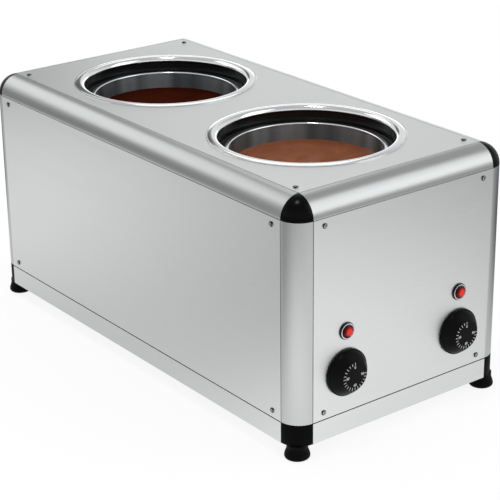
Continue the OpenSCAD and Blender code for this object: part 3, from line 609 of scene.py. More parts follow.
class Bench:
    """The modelling moves that the sub-assemblies share."""

    @staticmethod
    def clear() -> None:
        """Leaves edit mode and deselects everything."""
        active = bpy.context.view_layer.objects.active
        if active is not None and active.mode != "OBJECT":
            bpy.ops.object.mode_set(mode="OBJECT")
        bpy.ops.object.select_all(action="DESELECT")

    @staticmethod
    def take(piece: Piece) -> None:
        """Makes one piece the only selected one.

        Args:
            piece: The piece.
        """
        Bench.clear()
        piece.select_set(True)
        bpy.context.view_layer.objects.active = piece

    @staticmethod
    def edit(piece: Piece, kind: str = "VERT") -> None:
        """Opens a piece in edit mode with everything selected.

        Args:
            piece: The piece.
            kind: What is selected: vertices, edges or faces.
        """
        Bench.take(piece)
        bpy.ops.object.mode_set(mode="EDIT")
        bpy.ops.mesh.select_mode(type=kind)
        bpy.ops.mesh.select_all(action="SELECT")

    @staticmethod
    def name(piece: Piece, name: str) -> Piece:
        """Names a piece and its mesh alike.

        Args:
            piece: The piece.
            name: The name.

        Returns:
            The same piece.
        """
        piece.name = name
        piece.data.name = name
        return piece

    @staticmethod
    def draw(name: str, points: Sequence[Point3]) -> Piece:
        """Draws a line of edges, a point at a time.

        Args:
            name: The piece's name.
            points: The line's points in order.

        Returns:
            The piece, all selected in edit mode.
        """
        Bench.clear()
        bpy.ops.mesh.primitive_plane_add(size=MM)
        piece = Bench.name(bpy.context.object, name)
        Bench.edit(piece)
        bpy.ops.mesh.merge(type="CENTER")
        bpy.ops.transform.translate(value=points[0])
        for last, point in zip(points, points[1:]):
            step = Vector(point) - Vector(last)
            bpy.ops.mesh.extrude_vertices_move(TRANSFORM_OT_translate={"value": step})
        bpy.ops.mesh.select_all(action="SELECT")
        return piece

    @staticmethod
    def settle() -> None:
        """Merges doubled points of the piece in edit mode and turns its faces outwards."""
        bpy.ops.mesh.select_all(action="SELECT")
        bpy.ops.mesh.remove_doubles(threshold=DOUBLED)
        bpy.ops.mesh.normals_make_consistent(inside=False)

    @staticmethod
    def turn(name: str, outline: Sequence[Point2], segments: int) -> Piece:
        """Turns an outline about the Z axis, as on a lathe.

        Args:
            name: The piece's name.
            outline: Points as radius and height. It starts and ends on the axis, or where it started.
            segments: The number of steps in the full turn.

        Returns:
            The turned piece.
        """
        piece = Bench.draw(name, [(radius, 0.0, height) for radius, height in outline])
        bpy.ops.mesh.spin(steps=segments, angle=math.tau, center=(0, 0, 0), axis=(0, 0, 1))
        Bench.settle()
        bpy.ops.object.mode_set(mode="OBJECT")
        return piece

    @staticmethod
    def prism(name: str, outline: Sequence[Point2], bottom: float, top: float) -> Piece:
        """Fills an outline and extrudes it along Z.

        Args:
            name: The piece's name.
            outline: Points as X and Y, once round.
            bottom: The height of the lower face.
            top: The height of the upper face.

        Returns:
            The closed prism.
        """
        piece = Bench.draw(name, [(x, y, bottom) for x, y in outline])
        bpy.ops.mesh.edge_face_add()
        bpy.ops.mesh.extrude_region_move(TRANSFORM_OT_translate={"value": (0, 0, top - bottom)})
        Bench.settle()
        bpy.ops.object.mode_set(mode="OBJECT")
        return piece

    @staticmethod
    def pick(piece: Piece, wanted: Choice) -> None:
        """Selects some faces of a piece in edit mode.

        Args:
            piece: The piece.
            wanted: Says from a face's centre and normal whether it is selected.
        """
        Bench.edit(piece, "FACE")
        bpy.ops.mesh.select_all(action="DESELECT")
        bpy.ops.object.mode_set(mode="OBJECT")
        for face in piece.data.polygons:
            face.select = wanted(face.center, face.normal)
        bpy.ops.object.mode_set(mode="EDIT")

    @staticmethod
    def soften(piece: Piece, width: float, segments: int = 3, sharp: float = 40.0) -> None:
        """Rounds a piece's sharp edges.

        Args:
            piece: The piece.
            width: The width of the rounding.
            segments: The number of steps across it.
            sharp: The angle over which an edge is sharp, in degrees.
        """
        Bench.edit(piece, "EDGE")
        bpy.ops.mesh.select_all(action="DESELECT")
        bpy.ops.mesh.edges_select_sharp(sharpness=math.radians(sharp))
        bpy.ops.mesh.bevel(offset=width, segments=segments, profile=0.5, affect="EDGES", clamp_overlap=True)
        bpy.ops.object.mode_set(mode="OBJECT")

    @staticmethod
    def cut(piece: Piece, tool: Piece) -> None:
        """Takes a tool's shape out of a piece and throws the tool away.

        Args:
            piece: The piece.
            tool: The tool.
        """
        Bench.take(piece)
        hole = piece.modifiers.new("cut", "BOOLEAN")
        hole.operation = "DIFFERENCE"
        hole.solver = "EXACT"
        hole.object = tool
        bpy.ops.object.modifier_apply(modifier=hole.name)
        Bench.drop(tool)

    @staticmethod
    def smooth(piece: Piece, angle: float = 35.0) -> Piece:
        """Shades a piece smooth, apart from its sharp edges.

        Args:
            piece: The piece.
            angle: The angle over which an edge is sharp, in degrees.

        Returns:
            The same piece.
        """
        Bench.take(piece)
        bpy.ops.object.shade_smooth_by_angle(angle=math.radians(angle))
        return piece

    @staticmethod
    def drop(*pieces: Piece) -> None:
        """Throws patterns or tools away."""
        for piece in pieces:
            bpy.data.meshes.remove(piece.data)

    @staticmethod
    def copy(pattern: Piece, name: str, place: Matrix) -> Piece:
        """Copies a pattern with a mesh of its own.

        Args:
            pattern: The piece that is copied.
            name: The copy's name.
            place: Where it goes, mirrored or not. That is put in its mesh.

        Returns:
            The copy.
        """
        Bench.take(pattern)
        bpy.ops.object.duplicate(linked=False)
        piece = Bench.name(bpy.context.object, name)
        piece.data.transform(place)
        if place.determinant() < 0:
            piece.data.flip_normals()
        return piece

    @staticmethod
    def join(name: str, pieces: Sequence[Piece]) -> Piece:
        """Joins pieces into the first of them.

        Args:
            name: The joined piece's name.
            pieces: The pieces.

        Returns:
            The joined piece.
        """
        Bench.take(pieces[0])
        for piece in pieces[1:]:
            piece.select_set(True)
        bpy.ops.object.join()
        return Bench.name(bpy.context.object, name)


def dress(piece: Piece, finish: Finish, body: str, *nodes: str) -> None:
    """Gives a new piece its finish and its body, and hides the CAD nodes that it replaces.

    Args:
        piece: The new piece, in its place.
        finish: Its finish.
        body: The body that it rides on.
        *nodes: The CAD nodes that it replaces.
    """
    piece.data.materials.clear()
    piece.data.materials.append(finish.material())
    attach(piece, body)
    if nodes:
        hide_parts(*nodes)
    LOG.info("%s: %s, rides on %s, %d faces", piece.name, finish.name, body, len(piece.data.polygons))


def mount(pattern: Piece, name: str, place: Matrix, finish: Finish, body: str, *nodes: str) -> Piece:
    """Copies a pattern to its place and dresses the copy.

    Args:
        pattern: The piece that is copied.
        name: The copy's name.
        place: Where it goes.
        finish: Its finish.
        body: The body that it rides on.
        *nodes: The CAD nodes that it replaces.

    Returns:
        The copy.
    """
    piece = Bench.copy(pattern, name, place)
    dress(piece, finish, body, *nodes)
    return piece


def part_finish(piece: Piece, finish: Finish, wanted: Choice) -> None:
    """Gives some faces of a dressed piece a further finish.

    Args:
        piece: The piece.
        finish: The further finish.
        wanted: Says from a face's centre and normal whether it takes the finish.
    """
    piece.data.materials.append(finish.material())
    last = len(piece.data.materials) - 1
    for face in piece.data.polygons:
        if wanted(face.center, face.normal):
            face.material_index = last


def coat(finish: Finish, *nodes: str) -> None:
    """Gives CAD nodes, which keep their shapes, a finish.

    Args:
        finish: The finish.
        *nodes: The nodes.
    """
    for node in nodes:
        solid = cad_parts[node]
        solid.data.materials.clear()
        solid.data.materials.append(finish.material())
        LOG.info("%s: %s", node, finish.name)


@dataclass(frozen=True)
class Layout:
    """The case's main places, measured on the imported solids, in metres.

    Attributes:
        half_width: From the middle to the face of a long panel.
        half_length: From the middle to the face of an end panel.
        top: The height of the top panel's face.
        rail: The height of the rails' lower lips.
        seam: The height where posts and panels end above the foot blocks.
        skirt: The height of the foot blocks' undersides.
        post_x: From the middle to a post's inner corner along X.
        post_y: From the middle to a post's inner corner along Y.
        radius: The profile's outer radius.
    """

    half_width: float
    half_length: float
    top: float
    rail: float
    seam: float
    skirt: float
    post_x: float
    post_y: float
    radius: float

    @classmethod
    def measure(cls) -> Layout:
        """Reads the places from the imported solids.

        Returns:
            The case's layout.
        """
        post_low, post_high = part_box("post_rear_right")
        block_low, block_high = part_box("foot_block_rear_right")
        rail_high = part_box("rail_rear")[1]
        radius = block_high.x - rail_high.x
        return cls(
            half_width=block_high.x,
            half_length=block_high.y,
            top=rail_high.z,
            rail=post_high.z,
            seam=post_low.z,
            skirt=block_low.z,
            post_x=block_high.x - radius,
            post_y=block_high.y - radius,
            radius=radius,
        )

    def corner(self, side: Side, end: End, height: float) -> Matrix:
        """Goes to a post's inner corner at a height, mirrored to its side and end."""
        shift = Matrix.Translation((side.value * self.post_x, end.value * self.post_y, height))
        return shift @ Matrix.Diagonal((side.value, end.value, 1, 1))


@dataclass(frozen=True)
class ProfileFrame:
    """The four posts and four rails, all cut from one quarter-round profile.

    Attributes:
        layout: The case's places.
        wall: The thickness of the rounded wall and its lips.
        seat: How far the panels are let in behind the rounded face.
        leg_wall: The thickness of the legs that the panels are screwed to.
        leg_reach: How far a leg reaches behind its panel.
        notch: How far a rail's side legs stop short of its ends.
        lip_round: The rounding where the face turns in to a lip.
        flush: How near to a lip's plane a face lies that is on the lip.
    """

    layout: Layout
    wall: float = 2 * MM
    seat: float = 1.2 * MM
    leg_wall: float = 2 * MM
    leg_reach: float = 18 * MM
    notch: float = 18.5 * MM
    lip_round: float = 0.9 * MM
    flush: float = 0.1 * MM

    def outline(self) -> list[Point2]:
        """Draws the profile's section without its legs.

        Returns:
            Points round the section, from the inner end of one lip.
        """
        radius = self.layout.radius
        inner = radius - self.wall
        seat = radius - self.seat
        lip = seat - self.leg_wall
        turn = self.lip_round
        turn_x = math.sqrt((radius - turn) ** 2 - turn ** 2)
        face = math.degrees(math.atan2(turn, turn_x))
        back = math.degrees(math.asin(self.wall / inner))
        half = [(lip, 0.0), (seat, 0.0)] + arc((turn_x, turn), turn, -90, face, steps=5)
        outer = arc((0, 0), radius, face, 90 - face, steps=30)[1:-1]
        hollow = arc((0, 0), inner, 90 - back, back, steps=24)
        mirrored = [(y, x) for x, y in reversed(half)]
        return half + outer + mirrored + [(self.wall, lip)] + hollow + [(lip, self.wall)]

    def bar(self, name: str, length: float, side_stop: float, top_stop: float) -> Piece:
        """Cuts a bar of profile along Z and pulls its legs out of its lips.

        Args:
            name: The bar's name.
            length: Its length.
            side_stop: How far the leg below the first lip stops short of both ends.
            top_stop: How far the leg beside the second lip stops short of both ends.

        Returns:
            The bar, with its inner corner on the Z axis.
        """
        seat = self.layout.radius - self.seat
        lip = seat - self.leg_wall
        piece = Bench.prism(name, self.outline(), 0.0, length)
        for stop in sorted({side_stop, top_stop} - {0.0}):
            for height in (stop, length - stop):
                Bench.edit(piece)
                bpy.ops.mesh.bisect(plane_co=(0, 0, height), plane_no=(0, 0, 1))
        for stop, across, along in ((side_stop, 0, 1), (top_stop, 1, 0)):
            pull = [0.0, 0.0, 0.0]
            pull[along] = -self.leg_reach

            def on_lip(centre: Vector, normal: Vector) -> bool:
                """Says whether a face is the part of the lip that a leg grows from."""
                inside = lip < centre[across] < seat and stop < centre.z < length - stop
                return inside and normal[along] < -FACING and abs(centre[along]) < self.flush

            Bench.pick(piece, on_lip)
            bpy.ops.mesh.extrude_region_move(TRANSFORM_OT_translate={"value": pull})
        Bench.edit(piece)
        Bench.settle()
        return Bench.smooth(piece, angle=30)

    def build(self) -> None:
        """Cuts the bars, puts them in place and dresses them."""
        case = self.layout
        post = self.bar("post_pattern", case.rail - case.seam, 0.0, 0.0)
        for end in End:
            for side in Side:
                node = f"post_{end.word}_{side.word}"
                mount(post, f"{node}_profile", case.corner(side, end, case.seam), POST_PROFILE, "case", node)
        side_rail = self.bar("side_rail_pattern", 2 * case.post_y, self.notch, 0.0)
        for side in Side:
            node = f"rail_{side.word}"
            place = case.corner(side, End.REAR, case.rail) @ FACE_FRONT
            mount(side_rail, f"{node}_profile", place, SIDE_PROFILE, "case", node)
        end_rail = self.bar("end_rail_pattern", 2 * case.post_x, self.notch, self.notch)
        lay = Matrix.Rotation(math.pi / 2, 4, "Z") @ FACE_FRONT
        for end in End:
            node = f"rail_{end.word}"
            shift = Matrix.Translation((-case.post_x, end.value * case.post_y, case.rail))
            place = shift @ Matrix.Diagonal((1, end.value, 1, 1)) @ lay
            mount(end_rail, f"{node}_profile", place, END_PROFILE, "case", node)
        Bench.drop(post, side_rail, end_rail)


@dataclass(frozen=True)
class CornerMouldings:
    """The caps, foot blocks and feet at the four corners.

    Attributes:
        layout: The case's places.
        edge: The rounding of the caps' and blocks' edges.
        bell: The radius of a foot at its widest.
        toe: The rounding at the edge of its sole.
        flare: The height over the floor where the bell runs into the neck.
        neck: The radius of the foot's neck.
        rib_step: The distance between the ribs round the bell.
        rib_depth: The depth of the grooves between the ribs.
        rib_shape: How broad the grooves are: broader with a smaller power.
        rib_points: The number of steps up the ribs.
        screw_pocket: The radius of the pocket for the foot's screw.
        pocket_depth: Its depth.
    """

    layout: Layout
    edge: float = 0.6 * MM
    bell: float = 14 * MM
    toe: float = 3 * MM
    flare: float = 13 * MM
    neck: float = 11.6 * MM
    rib_step: float = 1.9 * MM
    rib_depth: float = 0.4 * MM
    rib_shape: float = 0.7
    rib_points: int = 72
    screw_pocket: float = 3.8 * MM
    pocket_depth: float = 6 * MM

    def cap(self) -> Piece:
        """Cuts an eighth of a ball and rounds its edges.

        Returns:
            The cap, with the ball's middle at the origin.
        """
        Bench.clear()
        bpy.ops.mesh.primitive_uv_sphere_add(segments=96, ring_count=48, radius=self.layout.radius)
        piece = Bench.name(bpy.context.object, "cap_pattern")
        for axis in ((1, 0, 0), (0, 1, 0), (0, 0, 1)):
            Bench.edit(piece)
            bpy.ops.mesh.bisect(plane_co=(0, 0, 0), plane_no=axis, use_fill=True, clear_inner=True)
        Bench.settle()
        Bench.soften(piece, self.edge)
        return Bench.smooth(piece)

    def block(self) -> Piece:
        """Makes the quarter-round block between a post and its foot.

        Returns:
            The block, with its inner corner on the Z axis.
        """
        outline = [(0.0, 0.0)] + arc((0, 0), self.layout.radius, 0, 90, steps=28)
        piece = Bench.prism("block_pattern", outline, self.layout.skirt, self.layout.seam)
        Bench.soften(piece, self.edge)
        return Bench.smooth(piece)

    def foot(self) -> Piece:
        """Turns the bell-shaped foot with its ribs.

        Returns:
            The foot, with its axis on Z and its sole on the floor.
        """
        pocket, depth = self.screw_pocket, self.pocket_depth
        outline = [(0.0, depth), (pocket, depth), (pocket, 0.0)]
        outline += arc((self.bell - self.toe, self.toe), self.toe, -90, 0, steps=8)
        for step in range(1, self.rib_points):
            share = step / self.rib_points
            rise = (self.flare - self.toe) * share
            ease = (1 - math.cos(math.pi * share)) / 2
            dip = max(-math.cos(math.tau * rise / self.rib_step), 0.0)
            groove = self.rib_depth * dip ** self.rib_shape
            outline.append((self.bell + (self.neck - self.bell) * ease - groove, self.toe + rise))
        outline += [(self.neck, self.flare), (self.neck, self.layout.skirt), (0.0, self.layout.skirt)]
        return Bench.smooth(Bench.turn("foot_pattern", outline, segments=72), angle=50)

    def build(self) -> None:
        """Makes the mouldings once each, and copies them to the corners."""
        case = self.layout
        cap, block, foot = self.cap(), self.block(), self.foot()
        for end in End:
            for side in Side:
                corner = f"{end.word}_{side.word}"
                foot_node = f"foot_{corner}"
                low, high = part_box(foot_node)
                under = Matrix.Translation(((low.x + high.x) / 2, (low.y + high.y) / 2, 0))
                for pattern, node, place, finish in (
                    (cap, f"corner_cap_{corner}", case.corner(side, end, case.rail), CAP_PLASTIC),
                    (block, f"foot_block_{corner}", case.corner(side, end, 0.0), BLOCK_PLASTIC),
                    (foot, foot_node, under, FOOT_RUBBER),
                ):
                    mount(pattern, f"{node}_moulding", place, finish, "case", node)
        Bench.drop(cap, block, foot)


@dataclass(frozen=True)
class SheetPanels:
    """The brushed panels, which keep the CAD's shapes."""

    def build(self) -> None:
        """Brushes the side panels along Y, and the others along X."""
        coat(SIDE_SHEET, "left_panel", "right_panel")
        coat(END_SHEET, "top_panel", "front_panel", "rear_panel", "base_pan")


@dataclass(frozen=True)
class HeatedWell:
    """One well with its lift-out pot and its chocolate.

    Attributes:
        end: The end of the case that it is at.
        chocolate: The finish of the filling.
        sheet: The thickness of the drawn steel.
        shoulder: The radius where the flange turns down into the throat.
        polished: The share of the shoulder's height that is polished; the throat below it takes a painted
            shade.
        crown: The width over which the flange's edge rolls down.
        seal: The thickness of the seal that the flange's edge rolls over.
        flange_lip: The width of the flange's turned-down edge.
        floor_turn: The rounding at the bottom of the bath.
        ledge_turn: The rounding at both edges of the ledge.
        rim_gap: The gap between the pot's rim and the throat.
        rim_width: The width of the pot's rim.
        rim_height: The height of the pot's rim over the ledge.
        rim_turn: The rounding where the pot's wall turns out to the rim.
        bead: The rounding of the rim's edge.
        bath_gap: The gap between the pot and the bath.
        corner: The radius at the bottom of the pot.
        meniscus: How far the chocolate climbs the wall.
        meniscus_width: The width over which it climbs.
        meniscus_bend: How late in that width it climbs: later with a larger power.
        segments: The number of steps round.
    """

    end: End
    chocolate: MeltedChocolate
    sheet: float = 1 * MM
    shoulder: float = 6 * MM
    polished: float = 0.9
    crown: float = 7.5 * MM
    seal: float = 0.7 * MM
    flange_lip: float = 0.4 * MM
    floor_turn: float = 6 * MM
    ledge_turn: float = 1.2 * MM
    rim_gap: float = 6 * MM
    rim_width: float = 6 * MM
    rim_height: float = 3 * MM
    rim_turn: float = 1.2 * MM
    bead: float = 1.5 * MM
    bath_gap: float = 2 * MM
    corner: float = 14 * MM
    meniscus: float = 1.4 * MM
    meniscus_width: float = 6 * MM
    meniscus_bend: float = 2.5
    segments: int = 160

    def well_outline(self, flange: float, rim: float, floor: float, ledge: float, top: float) -> list[Point2]:
        """Draws the well's section, inside first.

        Args:
            flange: The flange's radius.
            rim: The radius of the pot's rim.
            floor: The height of the well's underside.
            ledge: The height of the ledge that carries the pot.
            top: The height of the flange's top.

        Returns:
            Points from the axis and back to it.
        """
        sheet, floor_turn, turn = self.sheet, self.floor_turn, self.ledge_turn
        throat = rim + self.rim_gap
        bend = (throat + self.shoulder, top - self.shoulder)
        bath = rim - self.rim_width + sheet + self.bath_gap
        inside = floor + sheet
        under = top - sheet
        edge = under - self.seal
        points = [(0.0, inside)]
        points += arc((bath - floor_turn, inside + floor_turn), floor_turn, -90, 0, steps=8)
        points += arc((bath + turn, ledge - turn), turn, 180, 90, steps=5)
        points += arc((throat - turn, ledge + turn), turn, -90, 0, steps=5)
        points += arc(bend, self.shoulder, 180, 90, steps=16)
        roll = 14
        for step in range(roll + 1):
            share = step / roll
            points.append((flange - self.crown * (1 - share), top - (top - edge) * share ** 2))
        points += [(flange - self.flange_lip, edge), (flange - self.flange_lip, under)]
        points += arc(bend, self.shoulder - sheet, 90, 180, steps=12)
        points += [(throat + sheet, ledge - sheet), (bath + sheet, ledge - sheet), (bath + sheet, floor)]
        return points + [(0.0, floor)]

    def pot_outline(self, rim: float, floor: float, top: float) -> list[Point2]:
        """Draws the pot's section, inside first.

        Args:
            rim: The rim's radius.
            floor: The height of the pot's underside.
            top: The height of the rim's top.

        Returns:
            Points from the axis and back to it.
        """
        wall = rim - self.rim_width
        sheet, corner, bead, turn = self.sheet, self.corner, self.bead, self.rim_turn
        middle = (wall - corner, floor + sheet + corner)
        points = [(0.0, floor + sheet)]
        points += arc(middle, corner, -90, 0, steps=12)
        points += arc((wall + turn, top - turn), turn, 180, 90, steps=6)
        points += arc((rim - bead, top - bead), bead, 90, -90, steps=12)
        points.append((wall + sheet, top - self.rim_height))
        points += arc(middle, corner + sheet, 0, -90, steps=12)
        return points + [(0.0, floor)]

    def filling_outline(self, wall: float, floor: float, level: float) -> list[Point2]:
        """Draws the chocolate's section, surface first.

        Args:
            wall: The radius of its side.
            floor: The height of its underside.
            level: The height of its surface.

        Returns:
            Points from the axis and back to it.
        """
        rings, climb = 12, 8
        start = wall - self.meniscus_width
        points = [(start * ring / rings, level) for ring in range(rings + 1)]
        for step in range(1, climb + 1):
            share = step / climb
            rise = self.meniscus * share ** self.meniscus_bend
            points.append((start + self.meniscus_width * share, level + rise))
        points += arc((wall - self.corner, floor + self.corner), self.corner, 0, -90, steps=8)
        return points + [(0.0, floor)]

    def outside(self, axis: Point2) -> Choice:
        """Picks the faces that look down or away from an axis.

        Args:
            axis: The axis, as X and Y.

        Returns:
            The choice of faces.
        """
        def away(centre: Vector, normal: Vector) -> bool:
            """Says whether a face looks away from the axis or down."""
            outward = (centre.x - axis[0]) * normal.x + (centre.y - axis[1]) * normal.y
            return outward > 0 or normal.z < DOWNWARD
        return away

    def turn(self, node: str, outline: list[Point2], axis: Point2, finish: Finish, body: str) -> Piece:
        """Turns a piece about the well's axis and dresses it.

        Args:
            node: The CAD node that it stands for.
            outline: Its section.
            axis: The well's axis, as X and Y.
            finish: Its finish.
            body: The body that it rides on.

        Returns:
            The piece.
        """
        pattern = Bench.smooth(Bench.turn(f"{node}_pattern", outline, self.segments), angle=40)
        place = Matrix.Translation((*axis, 0))
        piece = mount(pattern, f"{node}_turned", place, finish, body, node)
        Bench.drop(pattern)
        return piece

    def build(self) -> None:
        """Turns the well, the pot and the chocolate, and dresses them."""
        word = self.end.word
        well, pot, filling, body = f"well_{word}", f"pot_{word}", f"chocolate_{word}", f"{word}_pot"
        well_low, well_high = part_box(well)
        pot_low, pot_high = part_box(pot)
        fill_low, fill_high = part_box(filling)
        axis = ((well_low.x + well_high.x) / 2, (well_low.y + well_high.y) / 2)
        flange = (well_high.x - well_low.x) / 2
        rim = (pot_high.x - pot_low.x) / 2
        ledge = pot_high.z - self.rim_height
        throat_top = well_high.z - self.polished * self.shoulder
        # Deep-drawn stainless, polished: a near mirror that draws bright and dark rings round the opening.
        polished = SpunSteel(f"polished_stainless_{well}", "polished_steel", "#F2F3F4", "#E8E9EA", 0.1, axis)
        # The throat: the same sheet with its drawing marks, painted dark as painted shade inside the well.
        painted_shade_throat = SpunSteel(f"drawn_stainless_{well}", "polished_steel", "#323334", "#262728", 0.3, axis)
        # The bath under the pot, turned and bright, which shows when the pot is lifted.
        bath = SpunSteel(
            f"turned_stainless_{well}", "polished_steel", "#C4C7C9", "#B2B5B7", 0.4, axis, stretch=0.6)
        # The pot's inside, finely spun, with a darker tone painted in as shade and broad upright bands
        # painted in as reflections.
        painted_pot_inside = SpunSteel(
            f"spun_stainless_{pot}", "pot_steel", "#92979A", "#7E8386", 0.5, axis, bands=0.6, stretch=0.8)
        # The pot's outside, turned and bright: its highlights run up and down the wall, with faint upright
        # bands painted in as reflections.
        bright = SpunSteel(
            f"bright_stainless_{pot}", "pot_steel", "#C8CBCC", "#B6B9BA", 0.36, axis, bands=0.15,
            stretch=0.7)
        outline = self.well_outline(flange, rim, well_low.z, ledge, well_high.z)
        piece = self.turn(well, outline, axis, polished, "case")
        # The throat between the ledge and the polished shoulder takes a painted shade.
        part_finish(piece, painted_shade_throat, lambda centre, normal: centre.z < throat_top)
        part_finish(piece, bath, lambda centre, normal: centre.z < ledge - self.sheet / 2)
        outline = self.pot_outline(rim, pot_low.z, pot_high.z)
        # The pot's inside takes its painted shade and painted reflection bands.
        piece = self.turn(pot, outline, axis, painted_pot_inside, body)
        part_finish(piece, bright, self.outside(axis))
        part_finish(piece, polished, lambda centre, normal: centre.z > ledge)
        outline = self.filling_outline((fill_high.x - fill_low.x) / 2, fill_low.z, fill_high.z)
        self.turn(filling, outline, axis, self.chocolate, body)
        coat(SEAL_SILICONE, f"well_seal_{word}")
        coat(HEATER_SILICONE, f"heating_mat_{word}")
        coat(MINERAL_WOOL, f"insulation_{word}")


@dataclass(frozen=True)
class ControlDial:
    """One thermostat knob with its printed scale.

    Attributes:
        side: The side of the front panel that it is on.
        skirt_height: The height of the knob's thin skirt.
        skirt_step: The step between the skirt and the cone.
        skirt_round: The rounding of the skirt's edges.
        face: The radius of the dial's face.
        face_round: The rounding at the face's edge.
        bulge: How far the knob's side stands out from a straight cone.
        hollow: The radius of the hollow behind the knob.
        hollow_depth: Its depth.
        marks: The number of tick marks.
        sweep: The angle from the first tick to the last, in degrees.
        tick_inner: The radius where a tick starts.
        tick_outer: The radius where it ends.
        tick_width: Its width.
        number_radius: The radius that the numbers stand at.
        number_size: The size of the numbers.
        ink: The thickness of the printed marks, and how much bolder the numbers are than their type.
    """

    side: Side
    skirt_height: float = 2 * MM
    skirt_step: float = 1 * MM
    skirt_round: float = 0.4 * MM
    face: float = 17 * MM
    face_round: float = 0.9 * MM
    bulge: float = 1.1 * MM
    hollow: float = 21 * MM
    hollow_depth: float = 5 * MM
    marks: int = 19
    sweep: float = 270.0
    tick_inner: float = 12.6 * MM
    tick_outer: float = 16 * MM
    tick_width: float = 0.55 * MM
    number_radius: float = 10.2 * MM
    number_size: float = 4 * MM
    ink: float = 0.06 * MM

    def knob(self, skirt: float, height: float) -> Piece:
        """Turns the knob's body.

        Args:
            skirt: The radius of its skirt.
            height: Its height over the panel.

        Returns:
            The knob, with its axis on Z and its face up.
        """
        cone = skirt - self.skirt_step
        edge, turn, base = self.skirt_round, self.face_round, self.skirt_height
        slope = math.degrees(math.atan2(cone - self.face, height - base))
        outline = [(0.0, self.hollow_depth), (self.hollow, self.hollow_depth), (self.hollow, 0.0)]
        outline += arc((skirt - edge, edge), edge, -90, 0, steps=3)
        outline += arc((skirt - edge, base - edge), edge, 0, 90, steps=3)
        rings = 9
        for step in range(rings):
            share = step / rings
            swell = self.bulge * math.sin(math.pi * share)
            outline.append((cone + (self.face - cone) * share + swell, base + (height - turn - base) * share))
        outline += arc((self.face - turn, height - turn), turn, slope, 90, steps=6)
        outline.append((0.0, height))
        return Bench.smooth(Bench.turn("knob_pattern", outline, segments=96), angle=30)

    def number(self, text: str, turn: float, height: float) -> Piece:
        """Prints a plain number on the face.

        Args:
            text: The number.
            turn: Its angle round the dial, in radians.
            height: The height of the knob's face.

        Returns:
            The number.
        """
        Bench.clear()
        bpy.ops.object.text_add()
        letters = bpy.context.object.data
        letters.body = text
        letters.size = self.number_size
        letters.align_x = "CENTER"
        letters.align_y = "CENTER"
        letters.offset = self.ink
        letters.extrude = self.ink
        bpy.ops.object.convert(target="MESH")
        mark = Bench.name(bpy.context.object, f"number_{text}")
        spot = (-math.sin(turn) * self.number_radius, math.cos(turn) * self.number_radius, height)
        mark.data.transform(Matrix.Translation(spot))
        return mark

    def scale(self, height: float) -> Piece:
        """Prints the ticks and the numbers in one piece.

        Args:
            height: The height of the knob's face.

        Returns:
            The scale, with the dial's axis on Z.
        """
        half = self.tick_width / 2
        outline = [(-half, self.tick_inner), (half, self.tick_inner),
                   (half, self.tick_outer), (-half, self.tick_outer)]
        tick = Bench.prism("tick_pattern", outline, height - self.ink, height + self.ink)
        step = math.radians(self.sweep) / (self.marks - 1)
        turns = [Matrix.Rotation(mark * step, 4, "Z") for mark in range(self.marks)]
        marks = [Bench.copy(tick, f"tick_{mark}", turn) for mark, turn in enumerate(turns)]
        Bench.drop(tick)
        for quarter, text in enumerate(("0", "30", "60", "90")):
            marks.append(self.number(text, quarter * math.pi / 2, height))
        return Bench.join("scale_pattern", marks)

    def build(self) -> None:
        """Makes the knob and its scale, and puts them on their dial."""
        word = self.side.word
        node, body = f"knob_{word}", f"{word}_dial"
        low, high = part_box(node)
        height = high.y - low.y - self.ink
        spot = Matrix.Translation(((low.x + high.x) / 2, high.y, (low.z + high.z) / 2)) @ FACE_FRONT
        knob, scale = self.knob((high.x - low.x) / 2, height), self.scale(height)
        mount(knob, f"{node}_turned", spot, KNOB_PLASTIC, body, node)
        mount(scale, f"dial_scale_{word}", spot, DIAL_INK, body)
        Bench.drop(knob, scale)


